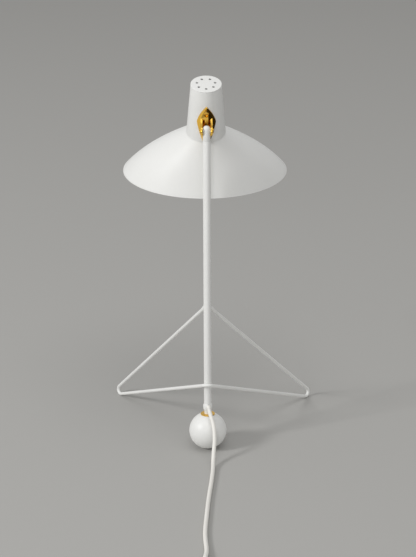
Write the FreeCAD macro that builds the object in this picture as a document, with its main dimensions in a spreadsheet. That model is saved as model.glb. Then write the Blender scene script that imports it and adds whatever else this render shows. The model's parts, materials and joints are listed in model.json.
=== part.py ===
import FreeCAD, Part
import math
import os

import Sketcher
from FreeCAD import Placement, Rotation, Vector

# A table lamp on three feet: a ball foot at the back and two bends of one wire in front, a
# leaning tube stem, a brass clevis that lets the head tilt, and an oblique spun shade.
# Millimetres, +Z up. The origin is under the ball foot, +Y points to the wire feet.

DIMENSIONS = {
    # ball foot and its seat
    "ball_dia": (50.0, "ball foot, a solid counterweight"),
    "pad_dia": (14.0, "pad under the ball"),
    "pad_thick": (1.2, "pad under the ball"),
    "seat_height": (23.4, "flat on the ball's crown, from its centre"),
    "washer_dia": (19.6, "brass washer on the crown"),
    "washer_thick": (1.2, "brass washer on the crown"),
    "stud_dia": (6.0, "stud that joins ball and stem"),
    "stud_sink": (14.0, "stud's depth below the crown's flat"),
    # stem
    "stem_lean": (3.5, "stem's lean towards the wire feet, degrees"),
    "stem_dia": (10.0, "outside of the stem tube"),
    "stem_wall": (1.0, "wall of the stem tube"),
    "neck_dia": (9.2, "waist of the ferrule"),
    "neck_length": (5.2, "waist of the ferrule"),
    "collar_dia": (12.4, "collar of the ferrule"),
    "collar_height": (9.0, "collar of the ferrule, where the cord comes out"),
    "collar_bevel": (1.9, "both ends of the collar"),
    "collar_seat": (3.2, "depth that the tube sits in the collar"),
    "pivot_height": (412.8, "tilt axis above the ball's centre, along the stem"),
    "tip_length": (13.0, "turned stem end below the tilt axis"),
    "tip_shank": (16.0, "shank of the stem end inside the tube"),
    "mouth_height": (63.5, "where the cord's line leaves the stem's axis, above the table"),
    "exit_slope": (35.0, "how steeply the cord leaves, degrees"),
    "mouth_dia": (6.6, "hole in the collar and the tube for the cord's sleeve"),
    "turn_fit": (0.04, "radial play of the shank in the tube"),
    "head_turn": (3.8, "how far the head is turned from straight ahead, degrees"),
    # bent wire
    "wire_dia": (4.5, "leg wire"),
    "wire_top": (203.0, "height where the upper wires meet the stem"),
    "wire_low": (93.5, "height where the lower wires pass the stem"),
    "foot_side": (153.4, "corner of the wire foot, before rounding, from the middle"),
    "foot_ahead": (182.4, "the same corner, ahead of the ball"),
    "foot_radius": (6.0, "bend of the wire foot, at its middle line"),
    # neck and shade
    "neck_tilt": (18.0, "neck's lean back towards the stem, degrees"),
    "neck_ahead": (42.4, "neck's lower end ahead of the tilt axis"),
    "neck_drop": (12.3, "neck's lower end below the tilt axis"),
    "sleeve_low_dia": (51.4, "neck sleeve at its lower end"),
    "sleeve_top_dia": (40.0, "neck sleeve at its upper end"),
    "sleeve_length": (71.0, "neck sleeve"),
    "sheet": (1.2, "metal of the neck and the shade"),
    "cap_thick": (1.5, "vent cap"),
    "vent_circle": (23.8, "circle of the vent holes"),
    "vent_dia": (3.8, "vent hole"),
    "vent_count": (7.0, "vent holes"),
    "shade_collar": (5.0, "shade's collar inside the neck"),
    "rim_dia": (223.4, "shade's rim"),
    "rim_tilt": (3.0, "rim's tilt at rest, degrees"),
    "rim_ahead": (121.8, "rim's centre ahead of the tilt axis"),
    "rim_drop": (87.9, "rim's centre below the tilt axis"),
    # clevis
    "ear_gap": (10.4, "between the ears"),
    "ear_thick": (2.3, "one ear"),
    "ear_radius": (6.2, "round end of an ear"),
    "leaf_width": (24.6, "leaf-shaped flange"),
    "leaf_height": (50.5, "leaf-shaped flange"),
    "leaf_thick": (1.5, "leaf-shaped flange at its edge"),
    "leaf_foot": (8.0, "leaf-shaped flange across its lower end"),
    "leaf_ridge": (5.2, "leaf's middle ridge above the neck"),
    "leaf_screw_dia": (3.0, "screw that holds the leaf"),
    "leaf_screw_head": (5.8, "its round head"),
    "leaf_screw_rise": (1.4, "its head's height"),
    "pin_dia": (3.4, "shoulder of a pivot screw"),
    "pivot_head_dia": (6.6, "head of a pivot screw"),
    "pivot_head_height": (1.45, "head of a pivot screw"),
    "friction_dia": (8.4, "friction washer under an ear"),
    # lampholder and lead
    "bracket_thick": (1.5, "plate that carries the lampholder"),
    "nipple_dia": (10.0, "threaded nipple"),
    "nut_corners": (16.0, "nipple's nut, across its corners"),
    "nut_height": (3.5, "nipple's nut"),
    "lead_hole": (6.4, "lead's hole in the leaf and the neck"),
    "lead_dia": (3.8, "inner lead"),
    # cord
    "cord_dia": (5.5, "mains cord"),
    "coil_radius": (43.0, "outer turn of the put-away cord, at its middle line"),
    "coil_step": (6.7, "from one turn to the next, and from one layer to the next"),
    "coil_turns": (6.5, "turns in two layers"),
    # switch and plug
    "switch_length": (56.0, "cord switch"),
    "switch_width": (22.0, "cord switch"),
    "switch_height": (14.0, "cord switch"),
    "switch_bevel": (1.0, "outer rims of the cord switch"),
    "rocker_width": (9.6, "rocker"),
    "rocker_tilt": (8.0, "rocker's tilt when it is pressed, degrees"),
    "plug_length": (35.3, "plug without its pins"),
    "plug_width": (26.4, "plug at its front"),
    "plug_thick": (13.6, "plug at its front"),
    "plug_pin_dia": (4.0, "plug's pin"),
    "plug_pin_length": (19.0, "plug's pin"),
    "plug_pin_centres": (18.6, "between the pins' middles"),
}

doc = FreeCAD.newDocument("tripod_lamp")
dims = doc.addObject("Spreadsheet::Sheet", "dims")
for row, (name, (value, note)) in enumerate(DIMENSIONS.items(), start=1):
    dims.set(f"A{row}", note)
    dims.set(f"B{row}", str(value))
    dims.setAlias(f"B{row}", name)
doc.recompute()


def mm(name):
    """A driving dimension as a plain number."""
    return float(dims.get(name))


X_AXIS = Vector(1, 0, 0)
Y_AXIS = Vector(0, 1, 0)
Z_AXIS = Vector(0, 0, 1)
ORIGIN = Vector(0, 0, 0)

BALL_RADIUS = mm("ball_dia") / 2
STEM_RADIUS = mm("stem_dia") / 2
CORD_RADIUS = mm("cord_dia") / 2
LEAN = math.radians(mm("stem_lean"))

# The stem's frame stands on the ball's centre, with Z along the stem.
STEM_FRAME = Placement(Vector(0, 0, BALL_RADIUS), Rotation(X_AXIS, -mm("stem_lean")))
STEM_AXIS = STEM_FRAME.Rotation.multVec(Z_AXIS)
PIVOT = STEM_FRAME.multVec(Vector(0, 0, mm("pivot_height")))

# The turned stem end keeps the stem's axis. The head's frame has its origin on the tilt axis.
TURN = Rotation(STEM_AXIS, mm("head_turn"))
TIP_FRAME = Placement(PIVOT, TURN.multiply(STEM_FRAME.Rotation))
HEAD_FRAME = Placement(PIVOT, TURN)

# The neck's frame sits on its lower end, with Z up along the neck and -Y towards the stem.
NECK_FRAME = HEAD_FRAME.multiply(
    Placement(Vector(0, mm("neck_ahead"), -mm("neck_drop")), Rotation(X_AXIS, mm("neck_tilt")))
)
PIVOT_IN_NECK = NECK_FRAME.inverse().multVec(PIVOT)


def on_stem(height):
    """The point of the stem's axis at a height above the table."""
    return Vector(0, (height - BALL_RADIUS) * math.tan(LEAN), height)


# ---------------------------------------------------------------- building helpers


def part_object(kind, label, frame=None, **expressions):
    """A Part primitive whose sizes are bound to the sheet."""
    thing = doc.addObject(kind, label)
    thing.Label = label
    for prop, expression in expressions.items():
        thing.setExpression(prop, expression)
    if frame is not None:
        thing.Placement = frame
    return thing


def boolean(kind, label, base, tool):
    """A Part::Cut, Part::Fuse or Part::Common of two objects."""
    thing = doc.addObject(kind, label)
    thing.Label = label
    thing.Base = base
    thing.Tool = tool
    return thing


def fused(label, *things):
    """Several objects as one."""
    thing = doc.addObject("Part::MultiFuse", label)
    thing.Label = label
    thing.Shapes = list(things)
    return thing


def shaped(label, shape, frame=None):
    """A feature whose shape is worked out here."""
    thing = doc.addObject("Part::Feature", label)
    thing.Label = label
    thing.Shape = shape
    if frame is not None:
        thing.Placement = frame
    return thing


def new_body(label, frame=None):
    """An empty PartDesign body."""
    body = doc.addObject("PartDesign::Body", label)
    body.Label = label
    if frame is not None:
        body.Placement = frame
    return body


def plane_of(body, role):
    """One of a body's own origin planes or axes."""
    return next(f for f in body.Origin.OriginFeatures if f.Role == role)


def sketch_on(body, role, name, offset=0.0):
    """A sketch on an origin plane, moved along the plane's normal."""
    sketch = body.newObject("Sketcher::SketchObject", name)
    sketch.AttachmentSupport = [(plane_of(body, role), "")]
    sketch.MapMode = "FlatFace"
    sketch.AttachmentOffset = Placement(Vector(0, 0, offset), Rotation())
    return sketch


def draw_lines(sketch, points):
    """Straight lines from point to point."""
    for start, end in zip(points, points[1:]):
        sketch.addGeometry(Part.LineSegment(Vector(*start, 0), Vector(*end, 0)), False)


def draw_outline(sketch, points):
    """A closed outline of straight lines."""
    draw_lines(sketch, points + points[:1])


def draw_circle(sketch, radius, x=0.0, y=0.0, size=None):
    """A circle in a sketch, its radius bound to the sheet where an expression is given."""
    circle = sketch.addGeometry(Part.Circle(Vector(x, y, 0), Z_AXIS, radius), False)
    if size is not None:
        bound = sketch.addConstraint(Sketcher.Constraint("Radius", circle, radius))
        sketch.setExpression(f"Constraints[{bound}]", size)


def revolved(body, sketch):
    """A sketch's full turn about the body's Z."""
    turn = body.newObject("PartDesign::Revolution", f"{sketch.Name}_turn")
    turn.Profile = sketch
    turn.ReferenceAxis = (plane_of(body, "Z_Axis"), [""])
    turn.Angle = 360
    doc.recompute()
    return turn


def turned(label, outline, frame=None):
    """A turned piece: an outline of (radius, height) points, revolved about Z."""
    body = new_body(label, frame)
    sketch = sketch_on(body, "XZ_Plane", f"{label}_outline")
    draw_outline(sketch, list(outline))
    revolved(body, sketch)
    return body


def padded(body, sketch, length, size=None):
    """A pad of a sketch, upwards from its plane, its length bound to the sheet where it can be."""
    pad = body.newObject("PartDesign::Pad", f"{sketch.Name}_pad")
    pad.Profile = sketch
    pad.Length = length
    if size is not None:
        pad.setExpression("Length", size)
    doc.recompute()
    return pad


def pocketed(body, sketch, length=None, both=False, back=False):
    """A pocket of a sketch, to a depth or through all. It has to take something away."""
    before = body.Shape.Volume
    pocket = body.newObject("PartDesign::Pocket", f"{sketch.Name}_pocket")
    pocket.Profile = sketch
    pocket.Reversed = back
    if length is None:
        pocket.Type = "ThroughAll"
    else:
        pocket.Length = length
    pocket.Midplane = both
    doc.recompute()
    if not body.Shape.Volume < before - 1e-3:
        raise RuntimeError(f"{sketch.Name} takes nothing away")
    return pocket


def rounded_wire(points, radii):
    """Straight runs joined by tangent arcs, one radius for each inner point."""
    edges = []
    start = points[0]
    for before, corner, after, radius in zip(points, points[1:], points[2:], radii):
        to_back = (before - corner).normalize()
        to_front = (after - corner).normalize()
        half = to_back.getAngle(to_front) / 2
        reach = radius / math.tan(half)
        middle = (to_back + to_front).normalize()
        first = corner + to_back * reach
        last = corner + to_front * reach
        crown = corner + middle * (radius / math.sin(half) - radius)
        edges.append(Part.LineSegment(start, first).toShape())
        edges.append(Part.Arc(first, crown, last).toShape())
        start = last
    edges.append(Part.LineSegment(start, points[-1]).toShape())
    return Part.Wire(edges)


def swept_round(path, radius):
    """A round bar along a wire, checked against its section times its length."""
    first = path.OrderedEdges[0]
    start = first.valueAt(first.FirstParameter)
    along = first.tangentAt(first.FirstParameter)
    section = Part.Wire([Part.Circle(start, along, radius).toShape()])
    bar = path.makePipeShell([section], True, False)
    expected = math.pi * radius**2 * path.Length
    if abs(bar.Volume - expected) > 0.01 * expected:
        raise RuntimeError(f"a bar of {path.Length:.0f} mm has the wrong volume")
    return bar


# ---------------------------------------------------------------- ball foot


def make_ball():
    """The ball, with its pad's recess, the flat on its crown and the stud's bore."""
    ball = part_object("Part::Sphere", "ball_blank", Radius="dims.ball_dia / 2")
    ball.Placement.Base = Vector(0, 0, BALL_RADIUS)
    recess = part_object("Part::Cylinder", "pad_recess", Height="dims.pad_thick", Radius="2 * dims.pad_dia")
    flat = part_object(
        "Part::Cylinder", "crown_flat", on_axis("seat_height"), Radius="dims.ball_dia", Height="dims.ball_dia"
    )
    bore = part_object(
        "Part::Cylinder", "stud_bore", on_axis("seat_height", "stud_sink"),
        Radius="dims.stud_dia / 2", Height="dims.ball_dia",
    )
    boolean("Part::Cut", "ball_foot", ball, fused("ball_cuts", recess, flat, bore))


def on_axis(height, less=None):
    """The stem's frame, moved along the stem by one driving dimension less another."""
    up = mm(height) - (mm(less) if less else 0)
    return STEM_FRAME.multiply(Placement(Vector(0, 0, up), Rotation()))


def make_pad():
    """The pad that the ball stands on, with a slightly smaller sole."""
    radius = mm("pad_dia") / 2
    thick = mm("pad_thick")
    bevel = 0.4
    turned("ball_pad", [(0, 0), (radius - bevel, 0), (radius, bevel), (radius, thick), (0, thick)])


def make_stud():
    """The stud between ball and ferrule, with bevelled ends."""
    radius = mm("stud_dia") / 2
    low = mm("seat_height") - mm("stud_sink")
    top = low + mm("stud_sink") + mm("washer_thick") + mm("neck_length")
    bevel = 0.6
    turned(
        "ball_stud",
        [(0, low), (radius - bevel, low), (radius, low + bevel), (radius, top - bevel),
         (radius - bevel, top), (0, top)],
        STEM_FRAME,
    )


def make_washer():
    """The brass washer under the stem, dished at its edge."""
    low = mm("seat_height")
    top = low + mm("washer_thick")
    radius = mm("washer_dia") / 2
    bevel = 0.5
    bore = mm("stud_dia") / 2
    turned(
        "ball_washer",
        [(bore, low), (radius - bevel, low), (radius, low + bevel), (radius - bevel, top), (bore, top)],
        STEM_FRAME,
    )


# ---------------------------------------------------------------- stem

FERRULE_FOOT = mm("seat_height") + mm("washer_thick")
COLLAR_FOOT = FERRULE_FOOT + mm("neck_length")
COLLAR_TOP = COLLAR_FOOT + mm("collar_height")
TUBE_FOOT = COLLAR_TOP - mm("collar_seat")
TUBE_TOP = mm("pivot_height") - mm("tip_length")
TUBE_BORE = STEM_RADIUS - mm("stem_wall")
EXIT_SLOPE = math.radians(mm("exit_slope"))
EXIT_SIDE = 0.23  # how far the cord turns to the right as it leaves, against its way back


def make_ferrule():
    """The turned foot of the stem: waist, barrel collar with the cord's hole, seat for the tube."""
    waist = mm("neck_dia") / 2
    collar = mm("collar_dia") / 2
    bevel = mm("collar_bevel")
    narrow = collar - bevel / 2
    stud = mm("stud_dia") / 2
    blank = turned(
        "ferrule_blank",
        [(stud, FERRULE_FOOT), (waist, FERRULE_FOOT), (waist, COLLAR_FOOT), (narrow, COLLAR_FOOT),
         (collar, COLLAR_FOOT + bevel), (collar, COLLAR_TOP - bevel), (narrow, COLLAR_TOP),
         (STEM_RADIUS, COLLAR_TOP), (STEM_RADIUS, TUBE_FOOT), (0, TUBE_FOOT), (0, COLLAR_FOOT),
         (stud, COLLAR_FOOT)],
        STEM_FRAME,
    )
    boolean("Part::Cut", "stem_ferrule", blank, mouth_cutter("ferrule_mouth"))


def mouth_cutter(label):
    """A round bar along the cord's mouth, which the collar and the tube are bored with."""
    return part_object(
        "Part::Cylinder", label, exit_frame(), Radius="dims.mouth_dia / 2", Height="2 * dims.stem_dia"
    )


def exit_frame():
    """The frame of the cord's mouth, with Z pointing out along the cord."""
    out = Vector(EXIT_SIDE, -math.cos(EXIT_SLOPE), -math.sin(EXIT_SLOPE))
    return Placement(on_stem(mm("mouth_height")), Rotation(Z_AXIS, out))


# The sleeve that lines the cord's mouth, measured along the cord from the stem's axis.
GROMMET_START = 4.6
GROMMET_END = 9.2
GROMMET_LIP = 1.2
GROMMET_EDGE = 0.2
GROMMET_FIT = 0.03

# The knuckle: its straight side above the tilt axis, the depth of its two flats, its seam to the
# tube, and the play round the lead.
TIP_SIDE = 2.0
TIP_FLAT = 0.4
TIP_SEAM = 0.1
TIP_BORE_PLAY = 0.2

# The pivot screws: where their inner ends stop so that the lead can pass, the play in the ears,
# and the shape of their heads and slots.
PIN_END = 2.2
EAR_PLAY = 0.05
PIVOT_HEAD_RISE = 0.85
PIVOT_HEAD_EASE = 0.7
SLOT_HALF = 0.4
SLOT_REACH = 4.0


def make_tube():
    """The stem tube, bored through on the back for the cord."""
    blank = new_body("tube_blank", STEM_FRAME)
    ring = sketch_on(blank, "XY_Plane", "tube_ring", TUBE_FOOT)
    draw_circle(ring, STEM_RADIUS, size="dims.stem_dia / 2")
    draw_circle(ring, TUBE_BORE, size="dims.stem_dia / 2 - dims.stem_wall")
    padded(
        blank, ring, TUBE_TOP - TUBE_FOOT,
        "dims.pivot_height - dims.tip_length - dims.seat_height - dims.washer_thick"
        " - dims.neck_length - dims.collar_height + dims.collar_seat",
    )
    boolean("Part::Cut", "stem_tube", blank, mouth_cutter("tube_mouth"))


def make_grommet():
    """The short sleeve that lines the hole and that the cord comes out of."""
    body = mm("mouth_dia") / 2 - GROMMET_FIT
    turned(
        "cord_grommet",
        [(CORD_RADIUS, GROMMET_START), (body, GROMMET_START), (body, GROMMET_END - GROMMET_LIP),
         (CORD_RADIUS + GROMMET_EDGE, GROMMET_END), (CORD_RADIUS, GROMMET_END)],
        exit_frame(),
    )


def make_tip():
    """The turned stem end: a shank in the tube, a domed knuckle and the lead's way through."""
    shank = TUBE_BORE - mm("turn_fit")
    foot = -mm("tip_length") - mm("tip_shank")
    seam = TIP_SEAM - mm("tip_length")
    crown = TIP_SIDE + STEM_RADIUS
    body = new_body("stem_tip", TIP_FRAME)
    sketch = sketch_on(body, "XZ_Plane", "tip_outline")
    draw_lines(
        sketch, [(0, foot), (shank, foot), (shank, seam), (STEM_RADIUS, seam), (STEM_RADIUS, TIP_SIDE)]
    )
    slant = STEM_RADIUS * math.sqrt(0.5)
    dome = Part.Arc(Vector(STEM_RADIUS, TIP_SIDE, 0), Vector(slant, TIP_SIDE + slant, 0), Vector(0, crown, 0))
    sketch.addGeometry(dome, False)
    draw_lines(sketch, [(0, crown), (0, foot)])
    revolved(body, sketch)
    way = sketch_on(body, "XY_Plane", "tip_bore", foot)
    draw_circle(way, CORD_RADIUS / 2 + TIP_BORE_PLAY)
    pocketed(body, way, -foot, back=True)
    cross = sketch_on(body, "YZ_Plane", "tip_cross")
    draw_circle(cross, mm("pin_dia") / 2, size="dims.pin_dia / 2")
    pocketed(body, cross, 3 * mm("stem_dia"), both=True)
    for side, name in ((1, "right"), (-1, "left")):
        flat = sketch_on(body, "YZ_Plane", f"tip_flat_{name}", side * (STEM_RADIUS - TIP_FLAT))
        draw_circle(flat, STEM_RADIUS + TIP_FLAT)
        pocketed(body, flat, STEM_RADIUS, back=side > 0)


def make_pivot_hardware():
    """Two brass pivot screws with slotted heads, and a friction washer under each ear."""
    inner = STEM_RADIUS - TIP_FLAT
    ear_in = mm("ear_gap") / 2 - EAR_PLAY
    seat = mm("ear_gap") / 2 + mm("ear_thick") + EAR_PLAY
    rise, face = PIVOT_HEAD_RISE, mm("pivot_head_height")
    edge, crown = mm("pivot_head_dia") / 2, mm("pivot_head_dia") / 2 - PIVOT_HEAD_EASE
    pin, washer = mm("pin_dia") / 2, mm("friction_dia") / 2
    for side, name in ((1, "right"), (-1, "left")):
        frame = TIP_FRAME.multiply(Placement(ORIGIN, Rotation(Y_AXIS, 90 * side)))
        ring = [(pin, inner), (washer, inner), (washer, ear_in), (pin, ear_in)]
        turned(f"friction_washer_{name}", ring, frame)
        screw = turned(
            f"pivot_screw_{name}",
            [(0, PIN_END), (pin, PIN_END), (pin, seat), (edge, seat), (edge, seat + rise),
             (crown, seat + face), (0, seat + face)],
            frame,
        )
        slot = sketch_on(screw, "XY_Plane", f"pivot_slot_{name}", seat + face)
        draw_outline(slot, [(-SLOT_REACH, -SLOT_HALF), (SLOT_REACH, -SLOT_HALF), (SLOT_REACH, SLOT_HALF),
                            (-SLOT_REACH, SLOT_HALF)])
        pocketed(screw, slot, 2 * SLOT_HALF)


# ---------------------------------------------------------------- bent wire legs

WIRE_WRAP = STEM_RADIUS + mm("wire_dia") / 2  # the wire's middle line from the stem's axis
WIRE_BEND = WIRE_WRAP + 0.2
WIRE_PITCH = math.radians(24)  # slope of the lower wires where they pass the stem
FOOT_PASSES = 12


def wire_corners(depth):
    """The wire's left foot, back and right foot before they are rounded, for a foot's depth."""
    side, ahead = mm("foot_side"), mm("foot_ahead")
    behind = on_stem(mm("wire_low")) - Vector(0, WIRE_WRAP / math.cos(WIRE_PITCH), 0)
    feet = [Vector(-side, ahead, depth), Vector(side, ahead, depth)]
    spread = (feet[0] - behind).getAngle(feet[1] - behind) / 2
    crown = WIRE_BEND / math.sin(spread) - WIRE_BEND
    corner = behind - Vector(0, crown, -crown * math.tan(WIRE_PITCH))
    return feet[0], corner, feet[1]


def foot_depth(top):
    """How far the unrounded foot corner lies below the table when the bend rests on it."""
    bend = mm("foot_radius")
    depth = 0.0
    for _ in range(FOOT_PASSES):
        foot, corner, _other = wire_corners(depth)
        up = (top - foot).normalize()
        back = (corner - foot).normalize()
        half = up.getAngle(back) / 2
        centre = foot + (up + back).normalize() * (bend / math.sin(half))
        normal = up.cross(back).normalize()
        lowest = centre.z - bend * math.sqrt(1 - normal.z**2)
        depth += mm("wire_dia") / 2 - lowest
    return depth


def make_wire():
    """One wire: stem, foot, round the stem's back, other foot, stem again."""
    top = on_stem(mm("wire_top"))
    left, corner, right = wire_corners(foot_depth(top))
    bends = [mm("foot_radius"), WIRE_BEND, mm("foot_radius")]
    path = rounded_wire([top, left, corner, right, top], bends)
    bar = swept_round(path, mm("wire_dia") / 2)
    stem = Part.makeCylinder(STEM_RADIUS, mm("pivot_height"), STEM_FRAME.Base, STEM_AXIS)
    shaped("leg_wire", bar.cut(stem))


# ---------------------------------------------------------------- neck and cap

SLEEVE_LOW = mm("sleeve_low_dia") / 2
SLEEVE_TOP = mm("sleeve_top_dia") / 2
SLEEVE_TAPER = (SLEEVE_LOW - SLEEVE_TOP) / mm("sleeve_length")
SCREW_HEIGHTS = (43.0, 9.0)
LEAD_HEIGHT = PIVOT_IN_NECK.z
SLEEVE_EASE = 0.4

# The vent cap: its play in the sleeve, its spigot and its rounded edge.
CAP_FIT = 0.05
CAP_WALL = 1.0
CAP_SPIGOT = 4.0
SPIGOT_TAPER = 0.2
CAP_EASE = 0.8


def sleeve_radius(height):
    """The neck's outer radius at a height in its own frame."""
    return SLEEVE_LOW - SLEEVE_TAPER * height


def make_sleeve():
    """The tapered neck sleeve, with holes on the back for the leaf's screws and the lead."""
    sheet = mm("sheet")
    length = mm("sleeve_length")
    ease = SLEEVE_EASE
    body = turned(
        "neck_sleeve",
        [(SLEEVE_LOW - sheet, 0), (SLEEVE_LOW - ease, 0), (sleeve_radius(ease), ease), (SLEEVE_TOP, length),
         (SLEEVE_TOP - sheet, length)],
        NECK_FRAME,
    )
    holes = sketch_on(body, "XZ_Plane", "sleeve_holes")
    for height in SCREW_HEIGHTS:
        draw_circle(holes, mm("leaf_screw_dia") / 2, 0, height, "dims.leaf_screw_dia / 2")
    draw_circle(holes, mm("lead_hole") / 2, 0, LEAD_HEIGHT, "dims.lead_hole / 2")
    pocketed(body, holes, 2 * SLEEVE_LOW, back=True)


def make_cap():
    """The vent cap: a rounded disc with a spigot in the sleeve and a ring of holes."""
    low = mm("sleeve_length")
    top = low + mm("cap_thick")
    inner = SLEEVE_TOP - mm("sheet") - CAP_FIT
    core = inner - CAP_WALL
    ease, bulge = CAP_EASE, CAP_EASE * (1 - math.sqrt(0.5))
    body = turned(
        "vent_cap",
        [(0, low), (core, low), (core, low - CAP_SPIGOT), (inner - SPIGOT_TAPER, low - CAP_SPIGOT),
         (inner, low), (SLEEVE_TOP, low), (SLEEVE_TOP, top - ease), (SLEEVE_TOP - bulge, top - bulge),
         (SLEEVE_TOP - ease, top), (0, top)],
        NECK_FRAME,
    )
    hole = sketch_on(body, "XY_Plane", "vent_hole", top)
    draw_circle(hole, mm("vent_dia") / 2, 0, -mm("vent_circle") / 2, "dims.vent_dia / 2")
    pocket = pocketed(body, hole, 2 * mm("cap_thick"))
    ring = body.newObject("PartDesign::PolarPattern", "vent_ring")
    ring.Originals = [pocket]
    ring.Axis = (plane_of(body, "Z_Axis"), [""])
    ring.Angle = 360
    ring.setExpression("Occurrences", "dims.vent_count")
    body.Tip = ring
    doc.recompute()


# ---------------------------------------------------------------- shade

# The shade's level sections: how far up each lies between rim and neck, against how much
# narrower it is. Straight back, domed front.
SHADE_STEPS = (0.0, 0.2, 0.4, 0.6, 0.8, 1.0)
SHADE_BULGE = 0.22
SHADE_SHOULDER = 0.36
SHADE_FIT = 0.1  # the shade's collar inside the neck, all round
RIM_LIP = 0.8  # how far the hollow stops below the outside, against the sheet


def shade_section(step, shrink=0.0, lower=0.0):
    """A section's centre, tilt and radius, from rim (0) to neck (1), in the head's frame."""
    hump = step * (1 - step)
    rise = step + SHADE_BULGE * hump + SHADE_SHOULDER * hump * (1 - 2 * step)
    rim, top = mm("rim_dia") / 2, SLEEVE_LOW - mm("sheet") - SHADE_FIT
    radius = rim + (top - rim) * step
    tilt = math.radians(mm("rim_tilt") + (mm("neck_tilt") - mm("rim_tilt")) * step**2)
    rim_back = Vector(0, mm("rim_ahead"), -mm("rim_drop")) - across(tilt_of(0)) * rim
    neck_back = Vector(0, mm("neck_ahead"), -mm("neck_drop")) - across(tilt_of(1)) * top
    back = rim_back + (neck_back - rim_back) * rise
    centre = back + across(tilt) * radius
    normal = Vector(0, -math.sin(tilt), math.cos(tilt))
    return centre - normal * lower, tilt, radius - shrink


def across(tilt):
    """The direction from a tilted circle's back to its front."""
    return Vector(0, math.cos(tilt), math.sin(tilt))


def tilt_of(end):
    """The tilt of the rim (0) or of the neck (1)."""
    return math.radians(mm("neck_tilt") if end else mm("rim_tilt"))


def section_circle(centre, tilt, radius):
    """A circle about a tilted axis."""
    normal = Vector(0, -math.sin(tilt), math.cos(tilt))
    return Part.Wire([Part.Circle(centre, normal, radius).toShape()])


def make_shade():
    """The oblique shade: a smooth loft through tilted circles, hollowed by a smaller one."""
    sheet = mm("sheet")
    collar = mm("shade_collar")
    outer = [section_circle(*shade_section(step)) for step in SHADE_STEPS]
    inner = [section_circle(*shade_section(step, sheet, sheet * RIM_LIP)) for step in SHADE_STEPS]
    shell = Part.makeLoft(outer, True, False)
    hollow = Part.makeLoft(inner, True, False)
    rim_centre, rim_lean, rim_radius = shade_section(0, sheet, sheet * RIM_LIP)
    down = Vector(0, -math.sin(rim_lean), math.cos(rim_lean)) * -mm("rim_drop")
    mouth_ends = [section_circle(centre, rim_lean, rim_radius) for centre in (rim_centre, rim_centre + down)]
    mouth = Part.makeLoft(mouth_ends, True, True)
    top_centre, top_lean, top_radius = shade_section(1)
    up = Vector(0, -math.sin(top_lean), math.cos(top_lean))
    ring = Part.makeCone(top_radius, top_radius - SLEEVE_TAPER * collar, collar, top_centre, up)
    bore = Part.makeCylinder(top_radius - sheet, 3 * collar, top_centre - up * 1.5 * collar, up)
    shell = shell.fuse(ring).cut(hollow.fuse(mouth)).cut(bore)
    shaped("shade_dish", shell.removeSplitter(), HEAD_FRAME)


# ---------------------------------------------------------------- brass clevis


LEAF_LOW = 1.2
LEAF_WIDEST = 29.6
SHOULDER_BOW = 0.07
FLANK_BOW = 0.03

# The leaf's middle ridge: how far its root lies inside the leaf's outline at the side, foot, low
# end and top, and its crown's share of the outline at the side and foot, and its two ends.
RIDGE_ROOT = (1.0, 0.8, 1.5, 1.2)
RIDGE_CROWN = (0.16, 0.3, 15.0, 4.0)
ROOT_DEPTH = 3.0
EAR_FLARE = (5.0, 3.0)

# Room round the knuckle and the stem, and the screws' seats on the leaf.
KNUCKLE_ROOM = 1.6
STEM_ROOM = 1.2
SEAT_LIFT = 2.4
SEAT_PLAY = 0.2
LEAF_SHANK = 4.5
LEAF_SLOT = 0.75


def leaf_outline(half, foot, low, top, depth):
    """The leaf: round shoulders, long flanks and a blunt foot, in a plane across the neck's Y."""
    crown = Vector(0, depth, top)
    right = Vector(half, depth, LEAF_WIDEST)
    left = Vector(-half, depth, LEAF_WIDEST)
    foot_right = Vector(foot, depth, low)
    foot_left = Vector(-foot, depth, low)
    edges = []
    for start, end, bow in (
        (crown, right, SHOULDER_BOW), (right, foot_right, FLANK_BOW),
        (foot_left, left, FLANK_BOW), (left, crown, SHOULDER_BOW),
    ):
        chord = end - start
        out = Y_AXIS.cross(chord) * -1
        middle = (start + end) * 0.5 + out * bow
        edges.append(Part.Arc(start, middle, end).toShape())
    edges.insert(2, Part.LineSegment(foot_right, foot_left).toShape())
    return Part.Wire(edges)


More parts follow.
